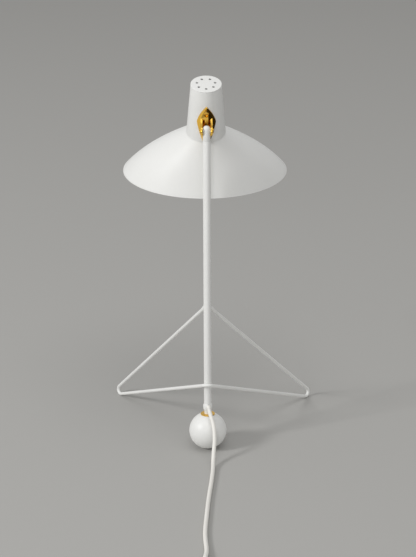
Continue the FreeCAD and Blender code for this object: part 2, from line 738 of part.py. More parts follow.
def make_clevis():
    """The brass leaf: a flange that hugs the neck, a middle ridge and two ears for the knuckle."""
    low, top = LEAF_LOW, LEAF_LOW + mm("leaf_height")
    half, foot = mm("leaf_width") / 2, mm("leaf_foot") / 2
    length = mm("sleeve_length")
    neck = Part.makeCone(SLEEVE_LOW, SLEEVE_TOP, length)
    thick = mm("leaf_thick")
    skin = Part.makeCone(SLEEVE_LOW + thick, SLEEVE_TOP + thick, length)
    outline = Part.Face(leaf_outline(half, foot, low, top, -SLEEVE_LOW - mm("leaf_foot")))
    flange = outline.extrude(Vector(0, mm("leaf_width"), 0)).common(skin)
    wall = -sleeve_radius(LEAF_WIDEST)
    inset, foot_inset, low_inset, top_inset = RIDGE_ROOT
    base = leaf_outline(half - inset, foot - foot_inset, low + low_inset, top - top_inset, wall + ROOT_DEPTH)
    share, foot_share, low_inset, top_inset = RIDGE_CROWN
    crown = leaf_outline(
        half * share, foot * foot_share, low + low_inset, top - top_inset, wall - mm("leaf_ridge")
    )
    boss = Part.makeLoft([base, crown], True, True)
    ears = [ear_plate(side) for side in (1, -1)]
    piece = flange.fuse([boss, *ears]).cut(neck)
    gap = mm("ear_gap")
    knuckle = Part.makeCylinder(STEM_RADIUS + KNUCKLE_ROOM, gap, PIVOT_IN_NECK - X_AXIS * (gap / 2), X_AXIS)
    reach = mm("sleeve_low_dia")
    side = PIVOT_IN_NECK - X_AXIS * (reach / 2)
    pins = Part.makeCylinder(mm("pin_dia") / 2 + EAR_PLAY, reach, side, X_AXIS)
    lead = Part.makeCylinder(mm("lead_hole") / 2, reach, Vector(0, -reach, LEAD_HEIGHT), Y_AXIS)
    piece = piece.cut([knuckle, stem_sweep(), pins, lead, *screw_seats()])
    shaped("brass_clevis", piece.removeSplitter(), NECK_FRAME)


def ear_plate(side):
    """One ear: a plate from the neck to the tilt axis, round at its end."""
    radius = mm("ear_radius")
    inner = mm("ear_gap") / 2
    x_low = inner if side > 0 else -inner - mm("ear_thick")
    centre = Vector(x_low, PIVOT_IN_NECK.y, PIVOT_IN_NECK.z)
    root = -sleeve_radius(LEAD_HEIGHT) + ROOT_DEPTH
    above, below = EAR_FLARE
    high = Vector(x_low, root, LEAD_HEIGHT + radius + above)
    low = Vector(x_low, root, LEAD_HEIGHT - radius - below)
    top = centre + Vector(0, 0, radius)
    bottom = centre - Vector(0, 0, radius)
    edges = [
        Part.LineSegment(high, top).toShape(),
        Part.Arc(top, centre - Vector(0, radius, 0), bottom).toShape(),
        Part.LineSegment(bottom, low).toShape(),
        Part.LineSegment(low, high).toShape(),
    ]
    return Part.Face(Part.Wire(edges)).extrude(X_AXIS * mm("ear_thick"))


def stem_sweep():
    """The room that the stem takes between the ears as the head tilts."""
    down = NECK_FRAME.Rotation.inverted().multVec(STEM_AXIS * -1)
    gap = mm("ear_gap")
    room = mm("leaf_height") + mm("ear_gap")
    reach = down * room
    away = Y_AXIS * -room
    clear = X_AXIS.cross(down).normalize() * (STEM_RADIUS + STEM_ROOM)
    if clear.y < 0:
        clear = clear * -1
    start = PIVOT_IN_NECK + clear - X_AXIS * (gap / 2)
    corners = [start, start + reach, start + reach + away, start + away, start]
    return Part.Face(Part.makePolygon(corners)).extrude(X_AXIS * gap)


def screw_seats():
    """Seats and holes for the leaf's two screws."""
    cuts = []
    reach = mm("leaf_width")
    for height in SCREW_HEIGHTS:
        face = -sleeve_radius(height) - SEAT_LIFT
        seat = mm("leaf_screw_head") / 2 + SEAT_PLAY
        cuts.append(Part.makeCylinder(seat, reach, Vector(0, face - reach, height), Y_AXIS))
        cuts.append(Part.makeCylinder(mm("leaf_screw_dia") / 2, reach, Vector(0, face, height), Y_AXIS))
    return cuts


def make_leaf_screws():
    """Two slotted screws that hold the leaf to the neck."""
    screws = []
    rise, wide = mm("leaf_screw_rise"), mm("leaf_screw_head")
    for height in SCREW_HEIGHTS:
        face = -sleeve_radius(height) - SEAT_LIFT
        shank = Part.makeCylinder(mm("leaf_screw_dia") / 2, LEAF_SHANK, Vector(0, face, height), Y_AXIS)
        head = Part.makeCylinder(wide / 2, rise, Vector(0, face - rise, height), Y_AXIS)
        corner = Vector(-wide / 2, face - rise, height - SLOT_HALF)
        slot = Part.makeBox(wide, LEAF_SLOT, 2 * SLOT_HALF, corner)
        screws.append(shank.fuse(head).cut(slot))
    shaped("leaf_screws", Part.makeCompound(screws), NECK_FRAME)


# ---------------------------------------------------------------- lampholder and bulb

# Heights are up the neck from its lower end; outlines are radius and height.
BRACKET_HEIGHT = 59.0
BRACKET_FIT = 0.03
BRACKET_VENT = (12.0, 3.2)
NIPPLE_ENDS = (52.0, 66.0)
NIPPLE_WALL = 1.4
HOLDER_BODY = (
    (5.0, 59.0), (9.0, 59.0), (13.2, 54.0), (13.2, 20.0), (14.2, 19.0), (14.2, 16.0), (13.2, 15.0),
    (12.0, 15.0), (12.0, 48.0), (5.0, 52.0),
)
HOLDER_SHELL = (
    (7.1, 46.0), (7.1, 22.0), (9.4, 22.0), (11.9, 25.0), (11.9, 28.0), (8.1, 28.0), (8.1, 47.0),
    (3.0, 47.0), (3.0, 46.0),
)
BULB_CAP = (
    (0.0, 45.0), (2.6, 45.0), (6.7, 42.0), (6.7, 23.0), (7.0, 20.0), (10.0, 17.0), (9.2, 16.0), (0.0, 16.0),
)
BULB_CONTACT = ((0.0, 45.0), (2.4, 45.0), (1.6, 46.6), (0.0, 46.8))
# The candle's outline: two arcs that meet at the belly.
GLASS_CURVE = ((9.0, 15.9), (15.2, 0.0), (17.5, -17.0), (12.6, -40.0), (2.5, -57.0))
# The inner lead: how far inside the neck's wall, and how far up.
LEAD_ROUTE = (
    (-0.5, LEAD_HEIGHT), (5.2, LEAD_HEIGHT), (5.6, LEAD_HEIGHT + 16), (6.2, 52.0), (7.4, 57.5),
)


def make_lampholder():
    """The bracket under the cap, the hollow nipple with its nut, and the small screw lampholder."""
    top = BRACKET_HEIGHT + mm("bracket_thick")
    thread = mm("nipple_dia") / 2
    inner = sleeve_radius(top) - mm("sheet") - BRACKET_FIT
    plate = new_body("holder_bracket", NECK_FRAME)
    disc = sketch_on(plate, "XY_Plane", "bracket_disc", BRACKET_HEIGHT)
    draw_circle(disc, inner)
    draw_circle(disc, thread + EAR_PLAY)
    padded(plate, disc, mm("bracket_thick"), "dims.bracket_thick")
    vents = sketch_on(plate, "XY_Plane", "bracket_vents", top)
    reach, radius = BRACKET_VENT
    for turn in (30, 150, 270):
        angle = math.radians(turn)
        draw_circle(vents, radius, reach * math.cos(angle), reach * math.sin(angle))
    pocketed(plate, vents, 2 * mm("bracket_thick"))
    low, high = NIPPLE_ENDS
    bore = thread - NIPPLE_WALL
    turned("holder_nipple", [(bore, low), (thread, low), (thread, high), (bore, high)], NECK_FRAME)
    nut = new_body("holder_nut", NECK_FRAME)
    hexagon = sketch_on(nut, "XY_Plane", "nut_outline", top)
    corner = mm("nut_corners") / 2
    turns = [math.radians(60 * side) for side in range(6)]
    draw_outline(hexagon, [(corner * math.cos(turn), corner * math.sin(turn)) for turn in turns])
    draw_circle(hexagon, thread, size="dims.nipple_dia / 2")
    padded(nut, hexagon, mm("nut_height"), "dims.nut_height")
    turned("lampholder_body", HOLDER_BODY, NECK_FRAME)
    turned("lampholder_shell", HOLDER_SHELL, NECK_FRAME)


def make_bulb():
    """A candle bulb with a small screw cap."""
    turned("bulb_cap", BULB_CAP, NECK_FRAME)
    turned("bulb_contact", BULB_CONTACT, NECK_FRAME)
    glass = new_body("bulb_glass", NECK_FRAME)
    sketch = sketch_on(glass, "XZ_Plane", "glass_outline")
    neck, shoulder, belly, cheek, nose = (Vector(*point, 0) for point in GLASS_CURVE)
    mouth, end = Vector(0, neck.y, 0), Vector(0, nose.y, 0)
    sketch.addGeometry(Part.Arc(neck, shoulder, belly), False)
    sketch.addGeometry(Part.Arc(belly, cheek, nose), False)
    for start, finish in ((nose, end), (end, mouth), (mouth, neck)):
        sketch.addGeometry(Part.LineSegment(start, finish), False)
    revolved(glass, sketch)


def make_lead():
    """The inner lead, from the leaf's hole up to the nipple."""
    wall = -sleeve_radius(LEAD_HEIGHT)
    points = [Vector(0, wall + inward, height) for inward, height in LEAD_ROUTE]
    path = rounded_wire(points, tangent_radii(points))
    shaped("supply_lead", swept_round(path, mm("lead_dia") / 2), NECK_FRAME)


# ---------------------------------------------------------------- cord and what is on it

SWITCH_LENGTH = mm("switch_length")
SWITCH_WIDTH = mm("switch_width")
SWITCH_HEIGHT = mm("switch_height")
SWITCH_START = Vector(10, -318, SWITCH_HEIGHT / 2)

# The cord's first straight run, then its route: past the ball, down to the table and along it.
EXIT_RUN = 10.0
CORD_ROUTE = (
    (9.3, -25.0, 44.5), (11.1, -35.5, 29.5), (9.8, -44.5, 15.0), (9.5, -56.5, 6.4), (9.9, -72.0, 3.3),
    (9.6, -100.0, 2.9), (7.6, -148.0, 2.9), (7.1, -196.0, 2.9), (6.9, -242.0, 2.9), (11.7, -280.0, 3.3),
    (10.0, -301.0, 7.0), (10.0, -318.0, 7.0),
)

# From the switch to the coil, and the coil's last run to the plug, all along Y.
COIL_APPROACH = 38.0
COIL_LEAD = (12.0, 10.0)
COIL_TAIL = (8.0, 22.0, 30.0)
GAP_STEP = 3.0
NEXT_TURN = 0.3  # points nearer than this share of the outer turn belong to the same turn


def cord_route():
    """The cord's line from its mouth, round the ball's back and along the table to the switch."""
    mouth = exit_frame().multVec(Vector(0, 0, GROMMET_END))
    out = exit_frame().Rotation.multVec(Z_AXIS)
    return [mouth, mouth + out * EXIT_RUN] + [Vector(*point) for point in CORD_ROUTE]


def tangent_radii(points):
    """The largest arcs that fit a route: 0.45 of the shorter run at each point."""
    radii = []
    for before, corner, after in zip(points, points[1:], points[2:]):
        turn = (corner - before).getAngle(after - corner)
        shorter = min((corner - before).Length, (after - corner).Length)
        radii.append(0.45 * shorter / math.tan(turn / 2))
    return radii


def make_cord():
    """The free cord from the grommet to the switch."""
    points = cord_route()
    radii = tangent_radii(points)
    print("cord radii:", ", ".join(f"{radius:.0f}" for radius in radii))
    path = rounded_wire(points, radii)
    print(f"free cord: {path.Length:.0f} mm")
    shaped("cord_free", swept_round(path, CORD_RADIUS))


def coil_line():
    """Points and directions of the put-away cord: in on the table, up a layer, out again."""
    centre = Vector(SWITCH_START.x - mm("coil_radius"), SWITCH_START.y - SWITCH_LENGTH - COIL_APPROACH, 0)
    step, turns = mm("coil_step"), mm("coil_turns")
    half_turns = int(round(2 * turns))
    climb = half_turns // 2
    points = []
    reach = mm("coil_radius")
    height = CORD_RADIUS
    for count in range(2 * half_turns + 1):
        angle = -math.pi / 2 * count
        points.append(centre + Vector(reach * math.cos(angle), reach * math.sin(angle), height))
        half = count // 2
        if half < climb:
            reach -= step / 4
        elif half == climb:
            height += step / 2
        else:
            reach += step / 4
    return centre, points


def make_coil():
    """The put-away cord: one unbroken tube in two layers, each quarter turn two tangent arcs."""
    centre, points = coil_line()
    edges = []
    first_run, second_run = COIL_LEAD
    start = points[0] + Vector(0, COIL_APPROACH, SWITCH_HEIGHT / 2 - CORD_RADIUS)
    lead = [start, start - Y_AXIS * first_run, points[0] + Y_AXIS * second_run, points[0]]
    edges.extend(rounded_wire(lead, tangent_radii(lead)).OrderedEdges)
    tangents = coil_tangents(centre, points)
    for first, last, leave, arrive in zip(points, points[1:], tangents, tangents[1:]):
        edges.extend(biarc(first, leave, last, arrive))
    leave = points[-1]
    drop = Vector(0, 0, mm("plug_thick") / 2 - leave.z)
    level, sloped, end = COIL_TAIL
    tail = [leave, leave + Y_AXIS * level, leave + Y_AXIS * sloped + drop, leave + Y_AXIS * end + drop]
    edges.extend(rounded_wire(tail, tangent_radii(tail)).OrderedEdges)
    path = Part.Wire(edges)
    print(f"coiled cord: {path.Length:.0f} mm")
    print(f"least gap of the coil to itself: {least_gap(path):.2f} mm")
    shaped("cord_coil", swept_round(path, CORD_RADIUS))
    return tail[-1]


def coil_tangents(centre, points):
    """The direction along the turns at each point: square to the radius, with the climb's slope."""
    tangents = []
    last = len(points) - 1
    for index, point in enumerate(points):
        spoke = levelled(point - centre)
        along = Vector(spoke.y, -spoke.x, 0).normalize()
        if 0 < index < last:
            after, before = points[index + 1], points[index - 1]
            chord = after - before
            climbing = points[0].z < point.z < points[last].z
            rise = chord.z / chord.Length if climbing else 0
            growth = levelled(after - centre).Length - levelled(before - centre).Length
            outward = levelled(point - centre).normalize() * (growth / (math.pi * (point - centre).Length))
            along = (along + outward + Z_AXIS * rise).normalize()
        tangents.append(along)
    return tangents


def levelled(direction):
    """A direction without its height."""
    return Vector(direction.x, direction.y, 0)


def biarc(start, leave, end, arrive):
    """Two tangent arcs from one point and direction to another."""
    chord = end - start
    both = leave + arrive
    a = 2 - 2 * leave.dot(arrive)
    b = 2 * chord.dot(both)
    c = -chord.dot(chord)
    reach = (-b + math.sqrt(b * b - 4 * a * c)) / (2 * a)
    first = start + leave * reach
    second = end - arrive * reach
    joint = (first + second) * 0.5
    return [tangent_arc(start, leave, joint), tangent_arc(end, arrive * -1, joint, True)]


def tangent_arc(start, leave, end, back=False):
    """The arc from start to end that leaves along a direction."""
    chord = end - start
    side = (chord - leave * chord.dot(leave)).normalize()
    radius = chord.dot(chord) / (2 * chord.dot(side))
    centre = start + side * radius
    middle = centre + ((start - centre) + (end - centre)).normalize() * radius
    if back:
        return Part.Arc(end, middle, start).toShape()
    return Part.Arc(start, middle, end).toShape()


def least_gap(path):
    """The least distance between the surfaces of two turns, measured on points."""
    points = path.discretize(Distance=GAP_STEP)
    far = int(NEXT_TURN * 2 * math.pi * mm("coil_radius") / GAP_STEP)
    least = min(
        (points[i] - points[j]).Length for i in range(len(points)) for j in range(i + far, len(points))
    )
    return least - mm("cord_dia")


SWITCH_FRAME = Placement(SWITCH_START - Vector(0, SWITCH_LENGTH / 2, SWITCH_HEIGHT / 2), Rotation())
SWITCH_END = 11.0
SWITCH_SHOULDER = 12.0
PIVOT_LIFT = 10.2  # the rocker's pin above the table
ROCKER_PIN = 1.6
PIN_LENGTH = 12.4
PIN_PLAY = 0.2
ROCKER_OUTLINE = [(-8.2, 2.4), (-8.2, 4.4), (0, 3.6), (8.2, 4.4), (8.2, 2.4), (2.0, -1.6), (-2.0, -1.6)]
WINDOW = (5.2, 9.2)
WINDOW_DEEP = 6.2
SCREW_SPOTS = ((-7.4, 13.5), (7.4, -13.5))
SCREW_BITE = 3.0
SHANK_RADIUS = 1.0
SHANK_LENGTH = 7.6
HEAD_RADIUS = 2.2
HEAD_SINK = 0.45
HEAD_TOP = 1.85
SWITCH_SLOT = (0.3, 0.65)
TOUCHING = 1e-3


def make_switch():
    """The cord switch's two shells, bored for the cord, the rocker's pin and the screws."""
    split = SWITCH_HEIGHT / 2
    for name, floor, roof in (("switch_base", 0.0, split), ("switch_cover", split, SWITCH_HEIGHT)):
        body = new_body(name, SWITCH_FRAME)
        sketch = sketch_on(body, "XY_Plane", f"{name}_outline", floor)
        switch_outline(sketch)
        padded(body, sketch, roof - floor, "dims.switch_height / 2")
        bore = sketch_on(body, "XZ_Plane", f"{name}_bore")
        draw_circle(bore, CORD_RADIUS, 0, split, "dims.cord_dia / 2")
        pocketed(body, bore, 2 * SWITCH_LENGTH, both=True)
        holes = sketch_on(body, "XY_Plane", f"{name}_screw_holes", floor)
        for x, y in SCREW_SPOTS:
            draw_circle(holes, SHANK_RADIUS + EAR_PLAY, x, y)
        pocketed(body, holes, SCREW_BITE if floor else split, back=True)
        if floor:
            window = sketch_on(body, "XY_Plane", "switch_window", roof)
            wide, long = WINDOW
            draw_outline(window, [(-wide, -long), (wide, -long), (wide, long), (-wide, long)])
            pocketed(body, window, WINDOW_DEEP)
            seat = sketch_on(body, "YZ_Plane", "rocker_seat")
            draw_circle(seat, ROCKER_PIN + EAR_PLAY, 0, PIVOT_LIFT)
            pocketed(body, seat, PIN_LENGTH + PIN_PLAY, both=True)
        else:
            heads = sketch_on(body, "XY_Plane", "screw_head_seats")
            for x, y in SCREW_SPOTS:
                draw_circle(heads, HEAD_RADIUS + SEAT_PLAY / 2, x, y)
            pocketed(body, heads, HEAD_TOP, back=True)
        bevel_rim(body, roof if floor else floor, name)


def make_switch_screws():
    """The two screws in the switch's underside, with slotted heads."""
    screws = []
    slot_half, slot_deep = SWITCH_SLOT
    for x, y in SCREW_SPOTS:
        head = Part.makeCylinder(HEAD_RADIUS, HEAD_TOP - HEAD_SINK, Vector(x, y, HEAD_SINK), Z_AXIS)
        shank = Part.makeCylinder(SHANK_RADIUS, SHANK_LENGTH, Vector(x, y, HEAD_TOP), Z_AXIS)
        corner = Vector(x - HEAD_RADIUS, y - slot_half, HEAD_SINK)
        slot = Part.makeBox(2 * HEAD_RADIUS, 2 * slot_half, slot_deep, corner)
        screws.append(head.fuse(shank).cut(slot))
    shaped("switch_screws", Part.makeCompound(screws), SWITCH_FRAME)


def bevel_rim(body, height, name):
    """A bevel round a switch shell's outer rim, and not round its window."""
    tip = body.Tip
    wide, long = WINDOW
    rim = [
        f"Edge{number}" for number, edge in enumerate(tip.Shape.Edges, start=1)
        if edge.Curve.TypeId == "Part::GeomLine"
        and abs(edge.BoundBox.ZMin - height) < TOUCHING and abs(edge.BoundBox.ZMax - height) < TOUCHING
        and (abs(edge.CenterOfMass.x) > wide + TOUCHING or abs(edge.CenterOfMass.y) > long + TOUCHING)
    ]
    bevel = body.newObject("PartDesign::Chamfer", f"{name}_edge")
    bevel.Base = (tip, rim)
    bevel.setExpression("Size", "dims.switch_bevel")
    body.Tip = bevel
    doc.recompute()


def switch_outline(sketch):
    """A long rounded outline, narrower at both ends."""
    wide, half = SWITCH_WIDTH / 2, SWITCH_LENGTH / 2
    end, shoulder = SWITCH_END / 2, half - SWITCH_SHOULDER
    draw_outline(
        sketch,
        [(-wide, -shoulder), (-end, -half), (end, -half), (wide, -shoulder), (wide, shoulder), (end, half),
         (-end, half), (-wide, shoulder)],
    )


def make_rocker():
    """The rocker on its pin, pressed down at the lamp's end."""
    lift = Placement(Vector(0, 0, PIVOT_LIFT), Rotation(X_AXIS, -mm("rocker_tilt")))
    body = new_body("switch_rocker", SWITCH_FRAME.multiply(lift))
    sketch = sketch_on(body, "YZ_Plane", "rocker_outline", -mm("rocker_width") / 2)
    draw_outline(sketch, ROCKER_OUTLINE)
    padded(body, sketch, mm("rocker_width"), "dims.rocker_width")
    pin = sketch_on(body, "YZ_Plane", "rocker_pin", -PIN_LENGTH / 2)
    draw_circle(pin, ROCKER_PIN)
    padded(body, pin, PIN_LENGTH)


# The plug's sections: how far along, how wide, how thick.
PLUG_SECTIONS = (
    (0, 11, 9.6), (9, 15, 11.5), (20, mm("plug_width"), mm("plug_thick")),
    (mm("plug_length"), mm("plug_width"), mm("plug_thick")),
)
PLUG_CORNER = 2.5
PIN_TIP = 0.6


def make_plug(cord_end):
    """The flat two-pin plug beside the coil, and its pins."""
    frame = Placement(Vector(cord_end.x, cord_end.y, mm("plug_thick") / 2), Rotation(X_AXIS, -90))
    sections = [rounded_box_wire(wide, thick, along) for along, wide, thick in PLUG_SECTIONS]
    shaped("plug_body", Part.makeLoft(sections, True, True), frame)
    radius, out = mm("plug_pin_dia") / 2, mm("plug_pin_length")
    pins = []
    for side in (-1, 1):
        foot = Vector(side * mm("plug_pin_centres") / 2, 0, mm("plug_length"))
        shaft = Part.makeCylinder(radius, out - PIN_TIP, foot, Z_AXIS)
        tip = Part.makeCone(radius, radius - PIN_TIP, PIN_TIP, foot + Z_AXIS * (out - PIN_TIP), Z_AXIS)
        pins.append(shaft.fuse(tip))
    shaped("plug_pins", Part.makeCompound(pins), frame)


def rounded_box_wire(wide, thick, along):
    """A rectangle with cut corners, across the plug's length."""
    cut = PLUG_CORNER
    a, b = wide / 2, thick / 2
    quarter = [(a, cut - b), (a, b - cut), (a - cut, b), (cut - a, b)]
    corners = quarter + [(-x, -y) for x, y in quarter]
    points = [Vector(x, y, along) for x, y in corners]
    return Part.makePolygon(points + points[:1])


# ---------------------------------------------------------------- build and write

make_ball()
make_pad()
make_stud()
make_washer()
make_ferrule()
make_tube()
make_grommet()
make_wire()
make_tip()
make_pivot_hardware()
make_sleeve()
make_cap()
make_shade()
make_clevis()
make_leaf_screws()
make_lampholder()
make_bulb()
make_lead()
make_cord()
COIL_END = make_coil()
make_switch()
make_rocker()
make_switch_screws()
make_plug(COIL_END)
doc.recompute()

NODES = [
    "ball_foot", "ball_pad", "ball_stud", "ball_washer", "stem_ferrule", "stem_tube", "cord_grommet",
    "leg_wire", "stem_tip", "friction_washer_left", "friction_washer_right", "pivot_screw_left",
    "pivot_screw_right", "brass_clevis", "leaf_screws", "neck_sleeve", "vent_cap", "shade_dish",
    "holder_bracket", "holder_nipple", "holder_nut", "lampholder_body", "lampholder_shell",
    "bulb_cap", "bulb_contact", "bulb_glass", "supply_lead", "cord_free", "cord_coil",
    "switch_base", "switch_cover", "switch_rocker", "switch_screws", "plug_body", "plug_pins",
]

failed = [o.Label for o in doc.Objects if "Invalid" in o.State or "Error" in o.State]
if failed:
    raise RuntimeError(f"these failed: {failed}")
os.makedirs("parts", exist_ok=True)
for label in NODES:
    piece = doc.getObjectsByLabel(label)[0]
    if piece.Shape.isNull() or not piece.Shape.isValid():
        raise RuntimeError(f"{label} has no valid shape")
    piece.Shape.exportStep(f"parts/{label}.step")
    box = piece.Shape.BoundBox
    print(f"{label}: {piece.Shape.Volume:.0f} mm3, {len(piece.Shape.Solids)} solid(s), "
          f"z {box.ZMin:.1f}..{box.ZMax:.1f}")
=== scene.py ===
import json
import logging
import math
from dataclasses import dataclass, field
from enum import Enum
from typing import Sequence

import bmesh
import bpy
from mathutils import Matrix, Vector


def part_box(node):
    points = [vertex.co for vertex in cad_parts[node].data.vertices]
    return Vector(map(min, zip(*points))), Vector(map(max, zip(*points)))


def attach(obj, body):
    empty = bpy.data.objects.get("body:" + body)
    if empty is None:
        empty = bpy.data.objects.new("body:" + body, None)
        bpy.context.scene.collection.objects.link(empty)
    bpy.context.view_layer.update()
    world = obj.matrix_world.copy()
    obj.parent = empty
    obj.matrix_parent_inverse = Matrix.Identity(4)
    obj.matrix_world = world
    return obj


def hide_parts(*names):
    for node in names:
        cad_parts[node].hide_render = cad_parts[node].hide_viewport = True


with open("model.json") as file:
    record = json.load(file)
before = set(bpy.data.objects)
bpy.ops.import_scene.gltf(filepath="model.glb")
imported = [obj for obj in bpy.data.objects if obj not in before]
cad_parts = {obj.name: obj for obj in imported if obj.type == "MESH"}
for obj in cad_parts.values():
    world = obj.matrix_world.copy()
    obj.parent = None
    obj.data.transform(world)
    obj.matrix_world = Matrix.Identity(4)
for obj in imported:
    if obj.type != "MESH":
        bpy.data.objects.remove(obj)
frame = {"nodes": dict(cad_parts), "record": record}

# A white table lamp on three feet, dressed for the picture. Metres, +Z up, origin under the ball
# foot, +Y towards the wire feet. Every visible piece keeps the place of the solid it stands for.

log = logging.getLogger("tripod_lamp")

MM = 0.001
ON_AXIS = 0.001 * MM
X_AXIS = Vector((1, 0, 0))
Y_AXIS = Vector((0, 1, 0))
Z_AXIS = Vector((0, 0, 1))
Point = tuple[float, float, float]
Profile = Sequence[tuple[float, float]]
Ring = Sequence[bmesh.types.BMVert]


class Body(Enum):
    """The parts of the lamp that move on their own."""

    BASE = "base"
    TIP = "turning_tip"
    HEAD = "head"
    ROCKER = "rocker"


# ------------------------------------------------------------------ finishes


def srgb(code: str) -> tuple[float, float, float, float]:
    """Turns an sRGB hex colour to linear light, by the standard's own curve.

    Args:
        code: six hex digits after a #.

    Returns:
        The colour as linear red, green, blue and full alpha.
    """
    values = [int(code[i : i + 2], 16) / 255 for i in (1, 3, 5)]
    linear = [v / 12.92 if v <= 0.04045 else ((v + 0.055) / 1.055) ** 2.4 for v in values]
    return (*linear, 1.0)


def add_node(
    tree: bpy.types.NodeTree,
    kind: str,
    settings: dict[str, object] | None = None,
    links: dict[str | int, object] | None = None,
) -> bpy.types.Node:
    """Adds a node with its settings and its inputs.

    Args:
        tree: the material's or the modifier's tree.
        kind: the node's type.
        settings: properties of the node itself.
        links: for each input, by name or number, a socket to link or a value to set.

    Returns:
        The new node.
    """
    node = tree.nodes.new(kind)
    for name, value in (settings or {}).items():
        setattr(node, name, value)
    for name, value in (links or {}).items():
        socket = node.inputs[name]
        if isinstance(value, bpy.types.NodeSocket):
            tree.links.new(value, socket)
        else:
            socket.default_value = value
    return node


CLOUD_DETAIL = 3.0
GRAIN_DETAIL = 2.0


@dataclass(frozen=True)
class Finish:
    """A surface: what it is made of and how it was made.

    The colour is the material's own, the relief is the height of its fine unevenness.
    """

    name: str
    colour: str
    roughness: float
    metallic: float = 0.0
    ior: float = 1.5
    grain: float = 1.0 * MM
    relief: float = 0.0
    stretch: Point = (1.0, 1.0, 1.0)
    shade: str | None = None
    blotch: float = 40 * MM

    def material(self) -> bpy.types.Material:
        """Makes the finish's material, or finds it if it is made already.

        Returns:
            The material, with its patterns on Object coordinates.
        """
        found = bpy.data.materials.get(self.name)
        if found is not None:
            return found
        made = bpy.data.materials.new(self.name)
        made.use_nodes = True
        tree = made.node_tree
        shader = tree.nodes["Principled BSDF"]
        shader.inputs["Base Color"].default_value = srgb(self.colour)
        shader.inputs["Roughness"].default_value = self.roughness
        shader.inputs["Metallic"].default_value = self.metallic
        if not self.metallic:
            shader.inputs["IOR"].default_value = self.ior
        place = add_node(tree, "ShaderNodeTexCoord").outputs["Object"]
        if self.shade:
            tree.links.new(self.clouded(tree, place), shader.inputs["Base Color"])
        if self.relief:
            tree.links.new(self.uneven(tree, place), shader.inputs["Normal"])
        return made

    def clouded(self, tree: bpy.types.NodeTree, place: bpy.types.NodeSocket) -> bpy.types.NodeSocket:
        """The colour, going over to the shade in soft blotches.

        Args:
            tree: the material's tree.
            place: where a point lies on the piece.

        Returns:
            The socket that gives the colour.
        """
        spread = {"Vector": place, "Scale": 1 / self.blotch, "Detail": CLOUD_DETAIL}
        cloud = add_node(tree, "ShaderNodeTexNoise", {}, spread)
        # The mix node has a socket for each type of data; these are the numbers of the colour's.
        factor, first, second, result = 0, 6, 7, 2
        colours = {factor: cloud.outputs["Fac"], first: srgb(self.colour), second: srgb(self.shade)}
        return add_node(tree, "ShaderNodeMix", {"data_type": "RGBA"}, colours).outputs[result]

    def uneven(self, tree: bpy.types.NodeTree, place: bpy.types.NodeSocket) -> bpy.types.NodeSocket:
        """The surface's fine relief.

        Args:
            tree: the material's tree.
            place: where a point lies on the piece.

        Returns:
            The socket that gives the normal.
        """
        scaled = add_node(tree, "ShaderNodeMapping", {}, {"Vector": place, "Scale": self.stretch})
        grain = {"Vector": scaled.outputs["Vector"], "Scale": 1 / self.grain, "Detail": GRAIN_DETAIL}
        fine = add_node(tree, "ShaderNodeTexNoise", {}, grain)
        relief = {"Height": fine.outputs["Fac"], "Strength": 1.0, "Distance": self.relief}
        return add_node(tree, "ShaderNodeBump", {}, relief).outputs["Normal"]

    def dress(self, piece: bpy.types.Object, slot: str) -> bpy.types.Object:
        """Puts the finish on a piece.

        Args:
            piece: the piece's object.
            slot: the material slot's name; not used.

        Returns:
            The same piece.
        """
        piece.data.materials.clear()
        piece.data.materials.append(self.material())
        return piece


# Polyester powder, baked on: a soft sheen with a very fine orange peel. The peel's real spacing
# of under a millimetre is drawn at 1.4 mm so that it shows.
POWDER_COAT = Finish(
    "satin_white_powder_coat", "#E9E9E7", 0.42, grain=1.4 * MM, relief=0.012 * MM, shade="#E5E5E2"
)
# Brass, pressed, polished and lacquered: a warm mirror with faint polishing lines.
POLISHED_BRASS = Finish(
    "polished_lacquered_brass", "#E2B750", 0.13, metallic=1.0, grain=3 * MM, relief=0.09 * MM,
    stretch=(1.0, 1.0, 0.35), shade="#D3A443", blotch=12 * MM,
)
# Steel with bright zinc: cool grey, slightly cloudy.
ZINC_STEEL = Finish("zinc_plated_steel", "#B9BCC0", 0.32, metallic=1.0, shade="#A9ADB3", blotch=6 * MM)
# Moulded rubber, dull and dark.
PAD_RUBBER = Finish("moulded_rubber", "#2B2A29", 0.78, grain=0.8 * MM, relief=0.02 * MM)
# PVC sheath, extruded: soft white with a slight sheen.
PVC_SHEATH = Finish("extruded_pvc_sheath", "#E8E6E0", 0.46, grain=2.2 * MM, relief=0.02 * MM)
# ABS from a fine-eroded mould: even, matt to satin.
MOULDED_ABS = Finish("moulded_white_abs", "#E7E5E0", 0.4, grain=0.7 * MM, relief=0.01 * MM)
# Nylon washers, cut from sheet: milky.
NYLON = Finish("nylon_sheet", "#D9D5CA", 0.5, ior=1.53)
# The lampholder's heat-proof polyester, moulded.
HOLDER_POLYESTER = Finish("moulded_polyester", "#DCDAD4", 0.45)
# Drawn brass of the lampholder's thread, unlacquered and dull.
PLAIN_BRASS = Finish("drawn_brass", "#C2A25C", 0.38, metallic=1.0)
# Rolled aluminium of the bulb's cap.
ROLLED_ALUMINIUM = Finish("rolled_aluminium", "#C4C6C8", 0.35, metallic=1.0)
# Opal glass: milky and smooth.
OPAL_GLASS = Finish("opal_glass", "#F1EFEA", 0.18)
# Brass pins with nickel: a slightly yellow silver.
NICKEL_BRASS = Finish("nickel_plated_brass", "#C9C6BD", 0.22, metallic=1.0)

